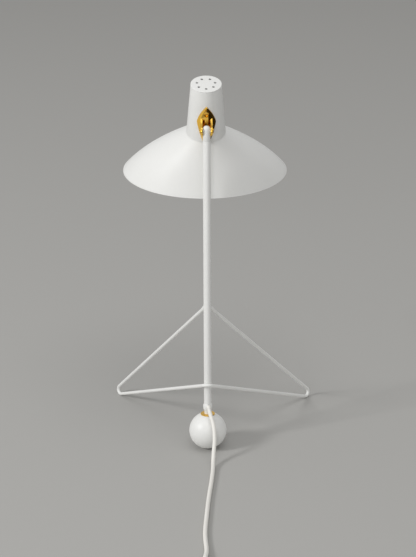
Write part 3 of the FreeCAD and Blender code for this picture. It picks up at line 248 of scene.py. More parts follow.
NODE_FINISHES: dict[str, tuple[Finish, str]] = {
    "ball_foot": (POWDER_COAT, "white_ball"),
    "ball_pad": (PAD_RUBBER, "pad_rubber"),
    "ball_stud": (ZINC_STEEL, "plain_steel"),
    "ball_washer": (POLISHED_BRASS, "brass"),
    "stem_ferrule": (POWDER_COAT, "white_coat"),
    "stem_tube": (POWDER_COAT, "white_coat"),
    "cord_grommet": (PVC_SHEATH, "cord_sheath"),
    "leg_wire": (POWDER_COAT, "white_coat"),
    "stem_tip": (POWDER_COAT, "white_coat"),
    "friction_washer_left": (NYLON, "nylon"),
    "friction_washer_right": (NYLON, "nylon"),
    "pivot_screw_left": (POLISHED_BRASS, "brass"),
    "pivot_screw_right": (POLISHED_BRASS, "brass"),
    "brass_clevis": (POLISHED_BRASS, "brass"),
    "leaf_screws": (POLISHED_BRASS, "brass"),
    "neck_sleeve": (POWDER_COAT, "white_coat"),
    "vent_cap": (POWDER_COAT, "white_coat"),
    "shade_dish": (POWDER_COAT, "white_coat"),
    "holder_bracket": (ZINC_STEEL, "plain_steel"),
    "holder_nipple": (ZINC_STEEL, "plain_steel"),
    "holder_nut": (ZINC_STEEL, "plain_steel"),
    "lampholder_body": (HOLDER_POLYESTER, "holder_plastic"),
    "lampholder_shell": (PLAIN_BRASS, "holder_metal"),
    "bulb_cap": (ROLLED_ALUMINIUM, "bulb_metal"),
    "bulb_contact": (ZINC_STEEL, "plain_steel"),
    "bulb_glass": (OPAL_GLASS, "bulb_glass"),
    "supply_lead": (PVC_SHEATH, "cord_sheath"),
    "switch_base": (MOULDED_ABS, "white_plastic"),
    "switch_cover": (MOULDED_ABS, "white_plastic"),
    "switch_rocker": (MOULDED_ABS, "white_plastic"),
    "switch_screws": (ZINC_STEEL, "plain_steel"),
    "plug_body": (MOULDED_ABS, "white_plastic"),
    "plug_pins": (NICKEL_BRASS, "pin_metal"),
}


# ------------------------------------------------------------------ frames


def turned_about(axis: Vector, degrees: float) -> Matrix:
    """A turn about an axis through the origin."""
    return Matrix.Rotation(math.radians(degrees), 4, axis)


BALL_RADIUS = 25 * MM
STUD_RADIUS = 3 * MM
STEM_RADIUS = 5 * MM
STEM_LEAN = 3.5
PIVOT_HEIGHT = 412.8 * MM
HEAD_TURNED = 3.8
NECK_TILT = 18.0
NECK_AHEAD = 42.4 * MM
NECK_DROP = 12.3 * MM

# The stem's frame is at the ball's centre with Z up the stem, the head's at the tilt axis, and the
# neck's at its lower end with Z up the sleeve.
STEM_FRAME = Matrix.Translation((0, 0, BALL_RADIUS)) @ turned_about(X_AXIS, -STEM_LEAN)
STEM_AXIS = STEM_FRAME.to_3x3() @ Z_AXIS
PIVOT = STEM_FRAME @ Vector((0, 0, PIVOT_HEIGHT))
HEAD_FRAME = Matrix.Translation(PIVOT) @ turned_about(STEM_AXIS, HEAD_TURNED)
NECK_FRAME = HEAD_FRAME @ Matrix.Translation((0, NECK_AHEAD, -NECK_DROP)) @ turned_about(X_AXIS, NECK_TILT)


def on_stem(height: float) -> Vector:
    """The stem's middle line at a height above the table."""
    return Vector((0, (height - BALL_RADIUS) * math.tan(math.radians(STEM_LEAN)), height))


@dataclass(frozen=True)
class Mouth:
    """The cord's mouth in the stem's collar: where its line leaves the stem's axis, and which way."""

    height: float = 63.5 * MM
    slope: float = math.radians(35)
    side: float = 0.23
    sleeve_end: float = 9.2 * MM
    hole_radius: float = 3.3 * MM
    hole_reach: float = 20 * MM

    def out(self) -> Vector:
        """The way that the cord points as it leaves."""
        return Vector((self.side, -math.cos(self.slope), -math.sin(self.slope))).normalized()

    def frame(self) -> Matrix:
        """The mouth's frame, on the stem's axis with Z pointing out."""
        turn = self.out().to_track_quat("Z", "Y").to_matrix().to_4x4()
        return Matrix.Translation(on_stem(self.height)) @ turn

    def drill(self, name: str) -> bpy.types.Mesh:
        """The cylinder that bores the mouth's hole."""
        return cylinder_mesh(name, self.hole_radius, 0, self.hole_reach, self.frame())


# ------------------------------------------------------------------ making pieces


def soften(mesh: bpy.types.Mesh, angle: float = 32.0) -> bpy.types.Mesh:
    """Shades a mesh smooth.

    Args:
        mesh: the mesh.
        angle: edges that turn more than this stay sharp, in degrees.

    Returns:
        The same mesh.
    """
    mesh.shade_smooth()
    mesh.set_sharp_from_angle(angle=math.radians(angle))
    return mesh


def new_piece(name: str, data: bpy.types.ID, body: Body, stands_for: Sequence[str]) -> bpy.types.Object:
    """Makes a piece of the lamp from its data and binds it to its body.

    Args:
        name: the piece's name.
        data: its mesh or curve.
        body: the body that it moves with.
        stands_for: the solids that it is shown instead of.

    Returns:
        The piece's object.
    """
    piece = bpy.data.objects.new(name, data)
    bpy.context.scene.collection.objects.link(piece)
    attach(piece, body.value)
    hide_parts(*stands_for)
    log.info("%s rides on %s", name, body.value)
    return piece


def settled(piece: bpy.types.Object) -> bpy.types.Mesh:
    """Runs a helper object's modifiers and removes the object.

    Args:
        piece: the helper object.

    Returns:
        The plain mesh that its modifiers make.
    """
    graph = bpy.context.evaluated_depsgraph_get()
    mesh = bpy.data.meshes.new_from_object(piece.evaluated_get(graph), depsgraph=graph)
    mesh.name = piece.name
    old = piece.data
    bpy.data.objects.remove(piece)
    if old.users == 0 and isinstance(old, bpy.types.Mesh):
        bpy.data.meshes.remove(old)
    return mesh


def loose_piece(name: str, data: bpy.types.ID) -> bpy.types.Object:
    """Makes a helper object that modifiers work on and that is settled afterwards.

    Args:
        name: the object's name.
        data: its mesh or curve.

    Returns:
        The object, which rides on no body.
    """
    piece = bpy.data.objects.new(name, data)
    bpy.context.scene.collection.objects.link(piece)
    return piece


def steps_of_turn(count: int) -> list[float]:
    """The angles that part a full turn evenly."""
    return [2 * math.pi * k / count for k in range(count)]


def join_rings(made: bmesh.types.BMesh, one: Ring, two: Ring) -> None:
    """Joins two rings of points by faces. A ring of a single point is a pole.

    Args:
        made: the mesh in the making.
        one: the first ring.
        two: the next ring, with as many points or a single one.
    """
    count = max(len(one), len(two))
    if count == 1:
        return
    for k in range(count):
        nxt = (k + 1) % count
        if len(one) == 1:
            made.faces.new((one[0], two[nxt], two[k]))
        elif len(two) == 1:
            made.faces.new((one[k], one[nxt], two[0]))
        else:
            made.faces.new((one[k], one[nxt], two[nxt], two[k]))


def written_out(made: bmesh.types.BMesh, name: str) -> bpy.types.Mesh:
    """Turns a closed mesh's normals outwards and writes it out.

    Args:
        made: the mesh in the making, which is freed.
        name: the finished mesh's name.

    Returns:
        The finished mesh.
    """
    bmesh.ops.recalc_face_normals(made, faces=made.faces)
    mesh = bpy.data.meshes.new(name)
    made.to_mesh(mesh)
    made.free()
    return mesh


def rounded_corners(
    outline: Profile, radius: float, closed: bool = True, steps: int = 4
) -> list[tuple[float, float]]:
    """Rounds the corners of an outline.

    Args:
        outline: the corners.
        radius: the rounding, less where an edge is too short for it.
        closed: whether the last corner joins the first.
        steps: points on each rounding, less one.

    Returns:
        The outline with its corners rounded, but for flat ones and those that aren't right of the
        axis.
    """
    flat = math.radians(88)
    most = 0.45
    made: list[tuple[float, float]] = []
    count = len(outline)
    for index, corner in enumerate(outline):
        here = Vector(corner)
        back = Vector(outline[index - 1]) - here
        ahead = Vector(outline[(index + 1) % count]) - here
        is_end = not closed and index in (0, count - 1)
        half = 0 if is_end or corner[0] < ON_AXIS else back.angle(ahead) / 2
        if half == 0 or half > flat:
            made.append(corner)
            continue
        reach = min(radius / math.tan(half), most * back.length, most * ahead.length)
        start, finish = here + back.normalized() * reach, here + ahead.normalized() * reach
        for step in range(steps + 1):
            share = step / steps
            one, two = start.lerp(here, share), here.lerp(finish, share)
            made.append(tuple(one.lerp(two, share)))
    return made


def turned_mesh(
    name: str, outline: Profile, place: Matrix, sides: int = 96, closed: bool = True
) -> bpy.types.Mesh:
    """Turns an outline of radius and height about Z and puts it in its place.

    Args:
        name: the mesh's name.
        outline: points of radius and height, going round the section against the clock.
        place: where the turned piece's own frame lies.
        sides: how many steps make the full turn.
        closed: whether the outline closes on itself.

    Returns:
        The finished mesh with its normals outwards.
    """
    made = bmesh.new()
    angles = steps_of_turn(sides)
    rings = []
    for radius, height in outline:
        spread = angles if radius > ON_AXIS else angles[:1]
        points = [(radius * math.cos(angle), radius * math.sin(angle), height) for angle in spread]
        rings.append([made.verts.new(point) for point in points])
    for one, two in zip(rings, rings[1:] + rings[:1] if closed else rings[1:]):
        join_rings(made, one, two)
    mesh = written_out(made, name)
    mesh.transform(place)
    return soften(mesh)


def cut_out(mesh: bpy.types.Mesh, cutters: Sequence[bpy.types.Mesh], name: str) -> bpy.types.Mesh:
    """Takes shapes out of a mesh.

    Args:
        mesh: what is cut.
        cutters: closed meshes, in the same frame.
        name: the result's name.

    Returns:
        The cut mesh.
    """
    piece = loose_piece(name, mesh)
    tools = [loose_piece(f"{name}_tool", cutter) for cutter in cutters]
    for tool in tools:
        cut = piece.modifiers.new("cut", "BOOLEAN")
        cut.object = tool
        cut.solver = "EXACT"
    result = settled(piece)
    for tool in tools:
        bpy.data.objects.remove(tool)
    return soften(result)


def eased_solid(node: str, bevel: float, angle: float = 30.0, segments: int = 2) -> bpy.types.Mesh:
    """A copy of a solid with its seams closed and its edges slightly rounded, as real ones are.

    Args:
        node: the solid's name.
        bevel: how far the rounding reaches.
        angle: edges that turn more than this are rounded, in degrees.
        segments: steps of the rounding.

    Returns:
        The eased mesh.
    """
    seam, flat = 0.002 * MM, math.radians(1.0)
    made = bmesh.new()
    made.from_mesh(frame["nodes"][node].data)
    bmesh.ops.remove_doubles(made, verts=made.verts, dist=seam)
    bmesh.ops.dissolve_limit(made, angle_limit=flat, verts=made.verts, edges=made.edges)
    mesh = bpy.data.meshes.new(f"{node}_eased")
    made.to_mesh(mesh)
    made.free()
    piece = loose_piece(f"{node}_eased", mesh)
    edge = piece.modifiers.new("edge", "BEVEL")
    edge.width = bevel
    edge.segments = segments
    edge.limit_method = "ANGLE"
    edge.angle_limit = math.radians(angle)
    edge.harden_normals = False
    return soften(settled(piece), angle)


def cylinder_mesh(name: str, radius: float, low: float, high: float, place: Matrix) -> bpy.types.Mesh:
    """A plain closed cylinder along Z of a frame."""
    outline = [(0, low), (radius, low), (radius, high), (0, high)]
    return turned_mesh(name, outline, place, sides=40, closed=False)


class NodeTree:
    """A Geometry Nodes tree with named inputs, made for one kind of repeated shape."""

    def __init__(self, name: str, sizes: dict[str, tuple[str, object]]) -> None:
        """Starts the tree.

        Args:
            name: the tree's name.
            sizes: for each named input, its socket type and its value.
        """
        self.tree = bpy.data.node_groups.new(name, "GeometryNodeTree")
        interface = self.tree.interface
        interface.new_socket("Geometry", in_out="INPUT", socket_type="NodeSocketGeometry")
        self.values: dict[str, object] = {}
        for label, (kind, value) in sizes.items():
            socket = interface.new_socket(label, in_out="INPUT", socket_type=kind)
            self.values[socket.identifier] = value
        interface.new_socket("Geometry", in_out="OUTPUT", socket_type="NodeSocketGeometry")
        self.inputs = self.tree.nodes.new("NodeGroupInput").outputs

    def add(
        self,
        kind: str,
        settings: dict[str, object] | None = None,
        numbered: Sequence[object] = (),
        **named: object,
    ) -> bpy.types.Node:
        """Adds a node to the tree.

        Args:
            kind: the node's type.
            settings: properties of the node itself.
            numbered: its first inputs in order.
            **named: its other inputs by name, with underscores for spaces.

        Returns:
            The new node.
        """
        links: dict[str | int, object] = dict(enumerate(numbered))
        links.update({label.replace("_", " "): value for label, value in named.items()})
        return add_node(self.tree, kind, settings, links)

    def finish(self, geometry: bpy.types.NodeSocket, finish: Finish) -> None:
        """Ends the tree with real geometry in its material.

        Args:
            geometry: the socket that gives the geometry.
            finish: what it is made of.
        """
        real = self.add("GeometryNodeRealizeInstances", Geometry=geometry)
        dressed = self.add("GeometryNodeSetMaterial", Geometry=real.outputs[0], Material=finish.material())
        end = self.tree.nodes.new("NodeGroupOutput")
        self.tree.links.new(dressed.outputs[0], end.inputs[0])

    def applied(self, piece: bpy.types.Object) -> bpy.types.Mesh:
        """Runs the tree on a helper object.

        Args:
            piece: the helper object, which is removed.

        Returns:
            The plain mesh that the tree makes.
        """
        change = piece.modifiers.new("nodes", "NODES")
        change.node_group = self.tree
        for identifier, value in self.values.items():
            change[identifier] = value
        return settled(piece)


def shown_piece(name: str, mesh: bpy.types.Mesh, body: Body, node: str) -> bpy.types.Object:
    """Shows a finished mesh instead of a solid, in that solid's finish.

    Args:
        name: the piece's name.
        mesh: its mesh.
        body: the body that it moves with.
        node: the solid that it is shown instead of.

    Returns:
        The piece's object.
    """
    finish, slot = NODE_FINISHES[node]
    return finish.dress(new_piece(name, mesh, body, (node,)), slot)


# ------------------------------------------------------------------ the lamp's sub-assemblies


@dataclass
class BallFoot:
    """The heavy ball at the back and the brass washer that the stem stands on."""

    seat: float = 23.4 * MM
    sole: float = 1.2 * MM
    steps: int = 64
    sides: int = 128
    washer_radius: float = 9.8 * MM
    washer_thick: float = 1.2 * MM
    washer_taper: float = 0.3 * MM
    washer_edge: float = 0.45 * MM

    def ball(self) -> bpy.types.Mesh:
        """The ball about the stem's axis, flat at the crown and under the sole.

        Returns:
            The ball's mesh, closed under its sole.
        """
        crown = math.acos(self.seat / BALL_RADIUS)
        outline = [(STUD_RADIUS, self.seat)]
        for step in range(self.steps):
            angle = crown + (math.pi - crown) * step / self.steps
            outline.append((BALL_RADIUS * math.sin(angle), BALL_RADIUS * math.cos(angle)))
        outline += [(0, -BALL_RADIUS), (0, 0), (STUD_RADIUS, 0)]
        mesh = turned_mesh("ball", outline, STEM_FRAME, self.sides)
        made = bmesh.new()
        made.from_mesh(mesh)
        cut = bmesh.ops.bisect_plane(
            made,
            geom=made.verts[:] + made.edges[:] + made.faces[:],
            plane_co=(0, 0, self.sole),
            plane_no=(0, 0, -1),
            clear_outer=True,
        )
        rim = [item for item in cut["geom_cut"] if isinstance(item, bmesh.types.BMEdge)]
        bmesh.ops.contextual_create(made, geom=rim)
        made.to_mesh(mesh)
        made.free()
        return soften(mesh)

    def washer(self) -> bpy.types.Mesh:
        """The turned washer with a softly rolled edge.

        Returns:
            The washer's mesh.
        """
        low, top = self.seat, self.seat + self.washer_thick
        outline = [
            (STUD_RADIUS, low),
            (self.washer_radius, low),
            (self.washer_radius - self.washer_taper, top),
            (STUD_RADIUS, top),
        ]
        return turned_mesh("washer", rounded_corners(outline, self.washer_edge), STEM_FRAME)

    def build(self) -> None:
        """Makes and dresses the ball and the washer."""
        shown_piece("ball", self.ball(), Body.BASE, "ball_foot")
        shown_piece("washer", self.washer(), Body.BASE, "ball_washer")


@dataclass
class Stem:
    """The leaning tube and the barrel collar at its foot that the cord comes out of."""

    bore: float = 4 * MM
    foot: float = 35.6 * MM
    top: float = 399.8 * MM
    edge: float = 0.25 * MM
    waist: float = 4.6 * MM
    waist_foot: float = 24.6 * MM
    collar: float = 6.2 * MM
    collar_foot: float = 29.8 * MM
    collar_top: float = 38.8 * MM
    collar_lip: float = 0.25 * MM
    fullness: float = 0.6
    barrel_steps: int = 10
    tube_sides: int = 64
    mouth: Mouth = Mouth()

    def collar_mesh(self) -> bpy.types.Mesh:
        """The barrel collar on its waist, bored for the cord.

        Returns:
            The collar's mesh.
        """
        barrel = []
        lip = STEM_RADIUS + self.collar_lip
        height = self.collar_top - self.collar_foot
        for step in range(self.barrel_steps + 1):
            share = step / self.barrel_steps
            swell = (self.collar - lip) * math.sin(math.pi * share) ** self.fullness
            barrel.append((lip + swell, self.collar_foot + height * share))
        outline = [
            (STUD_RADIUS, self.waist_foot),
            (self.waist, self.waist_foot),
            (self.waist, self.collar_foot),
            *barrel,
            (STEM_RADIUS, self.collar_top),
            (STEM_RADIUS, self.foot),
            (0, self.foot),
            (0, self.collar_foot),
            (STUD_RADIUS, self.collar_foot),
        ]
        blank = turned_mesh("collar", outline, STEM_FRAME)
        return cut_out(blank, [self.mouth.drill("collar_hole")], "collar")

    def tube_mesh(self) -> bpy.types.Mesh:
        """The tube, bored for the cord at its foot.

        Returns:
            The tube's mesh.
        """
        outline = [
            (self.bore, self.foot),
            (STEM_RADIUS, self.foot),
            (STEM_RADIUS, self.top),
            (self.bore, self.top),
        ]
        blank = turned_mesh("tube", rounded_corners(outline, self.edge), STEM_FRAME, self.tube_sides)
        return cut_out(blank, [self.mouth.drill("tube_hole")], "tube")

    def build(self) -> None:
        """Makes and dresses the collar and the tube."""
        shown_piece("collar", self.collar_mesh(), Body.BASE, "stem_ferrule")
        shown_piece("tube", self.tube_mesh(), Body.BASE, "stem_tube")


@dataclass
class WireLegs:
    """One bent wire: from the stem to a foot, round the stem's back, to the other foot and up again."""

    wire_radius: float = 2.25 * MM
    top: float = 203 * MM
    low: float = 93.5 * MM
    side: float = 153.4 * MM
    ahead: float = 182.4 * MM
    foot_bend: float = 6 * MM
    back_bend: float = 7.45 * MM
    bend_steps: int = 20
    depth_rounds: int = 12
    ring_sides: int = 28
    cuts: int = 24
    crease: float = 50.0
    pitch: float = math.radians(24)
    weld_swell: float = 1.5
    weld_reach: float = 5 * MM
    weld_depth: float = 0.6 * MM

    def corners(self, depth: float) -> tuple[Vector, Vector, Vector]:
        """The wire's corners before rounding.

        Args:
            depth: the height of the foot corners.

        Returns:
            The left foot, the back and the right foot.
        """
        wrap = STEM_RADIUS + self.wire_radius
        behind = on_stem(self.low) - Y_AXIS * wrap / math.cos(self.pitch)
        left, right = Vector((-self.side, self.ahead, depth)), Vector((self.side, self.ahead, depth))
        spread = (left - behind).angle(right - behind) / 2
        crown = self.back_bend / math.sin(spread) - self.back_bend
        return left, behind - Vector((0, crown, -crown * math.tan(self.pitch))), right

    def foot_depth(self) -> float:
        """Brings the foot's bend down to the table, step by step.

        Returns:
            The height of the unrounded foot corners.
        """
        depth = 0.0
        top = on_stem(self.top)
        for _ in range(self.depth_rounds):
            foot, corner, _right = self.corners(depth)
            up, back = (top - foot).normalized(), (corner - foot).normalized()
            half = up.angle(back) / 2
            centre = foot + (up + back).normalized() * (self.foot_bend / math.sin(half))
            normal = up.cross(back).normalized()
            depth += self.wire_radius - (centre.z - self.foot_bend * math.sqrt(1 - normal.z**2))
        return depth

    def bend(self, before: Vector, here: Vector, after: Vector, radius: float) -> list[Vector]:
        """One bend of the wire.

        Args:
            before: the corner before.
            here: the corner that is rounded.
            after: the corner after.
            radius: the bend's radius.

        Returns:
            Points on the bend, in order.
        """
        back, front = (before - here).normalized(), (after - here).normalized()
        half = back.angle(front) / 2
        centre = here + (back + front).normalized() * (radius / math.sin(half))
        start = here + back * (radius / math.tan(half)) - centre
        turn = math.pi - 2 * half
        normal = start.cross(here - centre).normalized()
        turns = (turn * step / self.bend_steps for step in range(self.bend_steps + 1))
        return [centre + Matrix.Rotation(angle, 3, normal) @ start for angle in turns]

    def line(self) -> list[Vector]:
        """The wire's middle line, from the stem round both feet and back to the stem.

        Returns:
            Its points, close together on the bends.
        """
        top = on_stem(self.top)
        left, back, right = self.corners(self.foot_depth())
        sunk = STEM_RADIUS - self.weld_depth
        return [
            top + (left - top).normalized() * sunk,
            *self.bend(top, left, back, self.foot_bend),
            *self.bend(left, back, right, self.back_bend),
            *self.bend(back, right, top, self.foot_bend),
            top + (right - top).normalized() * sunk,
        ]

    def tree(self) -> NodeTree:
        """The Geometry Nodes tree that sweeps the wire and swells its welded ends.

        Returns:
            The finished tree.
        """
        nodes = NodeTree(
            "bent_wire",
            {
                "Wire radius": ("NodeSocketFloat", self.wire_radius),
                "Ring sides": ("NodeSocketInt", self.ring_sides),
                "Weld swell": ("NodeSocketFloat", self.weld_swell),
                "Weld reach": ("NodeSocketFloat", self.weld_reach),
            },
        )
        given = nodes.inputs
        finer = nodes.add("GeometryNodeResampleCurve", {"mode": "EVALUATED"}, Curve=given["Geometry"])
        cuts = nodes.add("GeometryNodeSubdivideCurve", Curve=finer.outputs[0], Cuts=self.cuts)
        passed = nodes.add("GeometryNodeSplineParameter").outputs["Length"]
        whole = nodes.add("GeometryNodeSplineLength").outputs["Length"]
        rest = nodes.add("ShaderNodeMath", {"operation": "SUBTRACT"}, (whole, passed))
        nearer = nodes.add("ShaderNodeMath", {"operation": "MINIMUM"}, (rest.outputs[0], passed))
        swell = nodes.add(
            "ShaderNodeMapRange",
            {"interpolation_type": "SMOOTHSTEP"},
            Value=nearer.outputs[0],
            From_Max=given["Weld reach"],
            To_Min=given["Weld swell"],
            To_Max=1.0,
        )
        thick = nodes.add("GeometryNodeSetCurveRadius", Curve=cuts.outputs[0], Radius=swell.outputs[0])
        ring = nodes.add(
            "GeometryNodeCurvePrimitiveCircle",
            {"mode": "RADIUS"},
            Resolution=given["Ring sides"],
            Radius=given["Wire radius"],
        )
        swept = nodes.add(
            "GeometryNodeCurveToMesh",
            Curve=thick.outputs[0],
            Profile_Curve=ring.outputs[0],
            Scale=nodes.add("GeometryNodeInputRadius").outputs[0],
            Fill_Caps=True,
        )
        smooth = nodes.add("GeometryNodeSetShadeSmooth", Geometry=swept.outputs[0])
        nodes.finish(smooth.outputs[0], POWDER_COAT)
        return nodes

    def build(self) -> None:
        """Sweeps the wire along its line and dresses it."""
        curve = bpy.data.curves.new("wire_line", "CURVE")
        curve.dimensions = "3D"
        points = self.line()
        spline = curve.splines.new("POLY")
        spline.points.add(len(points) - 1)
        for control, point in zip(spline.points, points):
            control.co = (*point, 1)
        mesh = soften(self.tree().applied(loose_piece("bent_wire", curve)), self.crease)
        shown_piece("bent_wire", mesh, Body.BASE, "leg_wire")


@dataclass
class Shade:
    """The oblique spun shade: tilted circles from the rim up to the neck, with a rolled rim."""

    rim_radius: float = 111.7 * MM
    rim_tilt: float = math.radians(3)
    rim_ahead: float = 121.8 * MM
    rim_drop: float = 87.9 * MM
    neck_tilt: float = math.radians(NECK_TILT)
    neck_radius: float = 24.4 * MM
    sheet: float = 1.2 * MM
    bulge: float = 0.22
    shoulder: float = 0.36
    collar: float = 5 * MM
    collar_fit: float = 0.4 * MM
    rings: int = 40
    crowding: float = 1.15
    sides: int = 180
    bead: float = 0.85 * MM
    bead_steps: int = 10
    bead_width: float = 0.75
    bead_swell: float = 0.35 * MM
    bead_drop: float = 0.9
    inner_drop: float = 0.8
    crease: float = 40.0

    def across(self, tilt: float) -> Vector:
        """The direction from a tilted circle's back to its front."""
        return Vector((0, math.cos(tilt), math.sin(tilt)))

    def section(self, step: float) -> tuple[Vector, float, float]:
        """One of the tilted circles that the shell is spun through.

        Args:
            step: where it lies, from the rim at 0 to the neck at 1.

        Returns:
            The circle's centre, tilt and radius.
        """
        hump = step * (1 - step)
        rise = step + self.bulge * hump + self.shoulder * hump * (1 - 2 * step)
        radius = self.rim_radius + (self.neck_radius - self.rim_radius) * step
        tilt = self.rim_tilt + (self.neck_tilt - self.rim_tilt) * step**2
        rim, neck = Vector((0, self.rim_ahead, -self.rim_drop)), Vector((0, NECK_AHEAD, -NECK_DROP))
        low = rim - self.across(self.rim_tilt) * self.rim_radius
        high = neck - self.across(self.neck_tilt) * self.neck_radius
        back = low.lerp(high, rise) if 0 <= rise <= 1 else low + (high - low) * rise
        return back + self.across(tilt) * radius, tilt, radius

    def ring(self, made: bmesh.types.BMesh, step: float, inset: float, lift: float) -> Ring:
        """The points of one circle.

        Args:
            made: the mesh in the making.
            step: where the circle lies, from the rim at 0 to the neck at 1.
            inset: how far its points move towards its middle.
            lift: how far they move along its axis.

        Returns:
            The points, in order.
        """
        centre, tilt, radius = self.section(step)
        normal = Vector((0, -math.sin(tilt), math.cos(tilt)))
        ahead = self.across(tilt)
        points = []
        for angle in steps_of_turn(self.sides):
            spoke = X_AXIS * math.cos(angle) + ahead * math.sin(angle)
            points.append(made.verts.new(centre + spoke * (radius - inset) + normal * lift))
        return points

    def mesh(self) -> bpy.types.Mesh:
        """The whole shell: outside, the rolled rim, inside, and the collar in the neck.

        Returns:
            The shell's mesh.
        """
        made = bmesh.new()
        steps = [(k / self.rings) ** self.crowding for k in range(self.rings + 1)]
        loops = [self.ring(made, 1, self.collar_fit, self.collar)]
        loops += [self.ring(made, step, 0, 0) for step in reversed(steps)]
        for turn in range(1, self.bead_steps):
            angle = math.pi * turn / self.bead_steps
            inset = self.bead * (1 - math.cos(angle)) * self.bead_width
            swell, drop = self.bead_swell * math.sin(angle), self.bead_drop * self.bead * math.sin(angle)
            loops.append(self.ring(made, 0, inset - swell, -drop))
        for step in steps:
            loops.append(self.ring(made, step, self.sheet, -self.inner_drop * self.sheet * (1 - step)))
        loops.append(self.ring(made, 1, self.sheet + self.collar_fit, self.collar))
        for one, two in zip(loops, loops[1:] + loops[:1]):
            join_rings(made, one, two)
        mesh = written_out(made, "shade")
        mesh.transform(HEAD_FRAME)
        return soften(mesh, self.crease)

    def build(self) -> None:
        """Makes and dresses the shade."""
        shown_piece("shade", self.mesh(), Body.HEAD, "shade_dish")


@dataclass
class Neck:
    """The tapered neck sleeve and its perforated cap."""

    low_radius: float = 25.7 * MM
    top_radius: float = 20 * MM
    length: float = 71 * MM
    sides: int = 128
    sheet: float = 1.2 * MM
    cap_thick: float = 1.5 * MM
    spigot: float = 4 * MM
    vent_circle: float = 11.9 * MM
    vent_radius: float = 1.9 * MM
    vent_count: int = 7
    vent_sides: int = 32
    sleeve_edge: float = 0.4 * MM
    cap_edge: float = 0.8 * MM
    cap_fit: float = 0.05 * MM
    spigot_wall: float = 1.0 * MM
    drill_depth: float = 8 * MM
    screw_heights: tuple[float, float] = (43 * MM, 9 * MM)
    screw_radius: float = 1.5 * MM
    lead_height: float = 24.8 * MM
    lead_radius: float = 3.2 * MM
    cut_range: tuple[float, float] = (10 * MM, 40 * MM)

    def sleeve(self) -> bpy.types.Mesh:
        """The sleeve, with the holes that the leaf covers.

        Returns:
            The sleeve's mesh.
        """
        outline = [
            (self.low_radius - self.sheet, 0),
            (self.low_radius, 0),
            (self.top_radius, self.length),
            (self.top_radius - self.sheet, self.length),
        ]
        rounded = rounded_corners(outline, self.sleeve_edge)
        blank = turned_mesh("sleeve", rounded, NECK_FRAME, self.sides)
        lie = turned_about(X_AXIS, 90)
        holes = [(height, self.screw_radius) for height in self.screw_heights]
        holes.append((self.lead_height, self.lead_radius))
        cutters = []
        for height, radius in holes:
            placed = NECK_FRAME @ Matrix.Translation((0, 0, height)) @ lie
            cutters.append(cylinder_mesh("sleeve_hole", radius, *self.cut_range, placed))
        return cut_out(blank, cutters, "sleeve")

    def cap_blank(self) -> bpy.types.Mesh:
        """The cap before its holes: a disc with a spigot that sits in the sleeve.

        Returns:
            The blank's mesh, about the neck's own axis.
        """
        inner = self.top_radius - self.sheet - self.cap_fit
        top = self.length + self.cap_thick
        outline = [
            (0, self.length),
            (inner - self.spigot_wall, self.length),
            (inner - self.spigot_wall, self.length - self.spigot),
            (inner, self.length - self.spigot),
            (inner, self.length + self.cap_fit),
            (self.top_radius, self.length + self.cap_fit),
            (self.top_radius, top),
            (0, top),
        ]
        rounded = rounded_corners(outline, self.cap_edge, closed=False)
        return turned_mesh("cap", rounded, Matrix.Identity(4), self.sides, closed=False)

    def tree(self) -> NodeTree:
        """The Geometry Nodes tree that drills a ring of vent holes.

        Returns:
            The finished tree.
        """
        nodes = NodeTree(
            "vent_holes",
            {
                "Hole count": ("NodeSocketInt", self.vent_count),
                "Hole radius": ("NodeSocketFloat", self.vent_radius),
                "Circle radius": ("NodeSocketFloat", self.vent_circle),
                "Level": ("NodeSocketFloat", self.length),
            },
        )
        given = nodes.inputs
        ring = nodes.add(
            "GeometryNodeMeshCircle", Vertices=given["Hole count"], Radius=given["Circle radius"]
        )
        level = nodes.add("ShaderNodeCombineXYZ", Z=given["Level"])
        placed = nodes.add(
            "GeometryNodeTransform",
            Geometry=ring.outputs[0],
            Translation=level.outputs[0],
            Rotation=(0, 0, -math.pi / 2),
        )
        drill = nodes.add(
            "GeometryNodeMeshCylinder",
            Vertices=self.vent_sides,
            Radius=given["Hole radius"],
            Depth=self.drill_depth,
        )
        drills = nodes.add(
            "GeometryNodeInstanceOnPoints", Points=placed.outputs[0], Instance=drill.outputs[0]
        )
        loose = nodes.add("GeometryNodeRealizeInstances", Geometry=drills.outputs[0])
        settings = {"operation": "DIFFERENCE", "solver": "EXACT"}
        bored = nodes.add("GeometryNodeMeshBoolean", settings, (given["Geometry"], loose.outputs[0]))
        nodes.finish(bored.outputs[0], POWDER_COAT)
        return nodes

    def cap(self) -> bpy.types.Mesh:
        """The cap, perforated and set on the sleeve.

        Returns:
            The cap's mesh.
        """
        mesh = self.tree().applied(loose_piece("cap", self.cap_blank()))
        mesh.transform(NECK_FRAME)
        return soften(mesh)

    def build(self) -> None:
        """Makes and dresses the sleeve and the cap."""
        shown_piece("sleeve", self.sleeve(), Body.HEAD, "neck_sleeve")
        shown_piece("cap", self.cap(), Body.HEAD, "vent_cap")


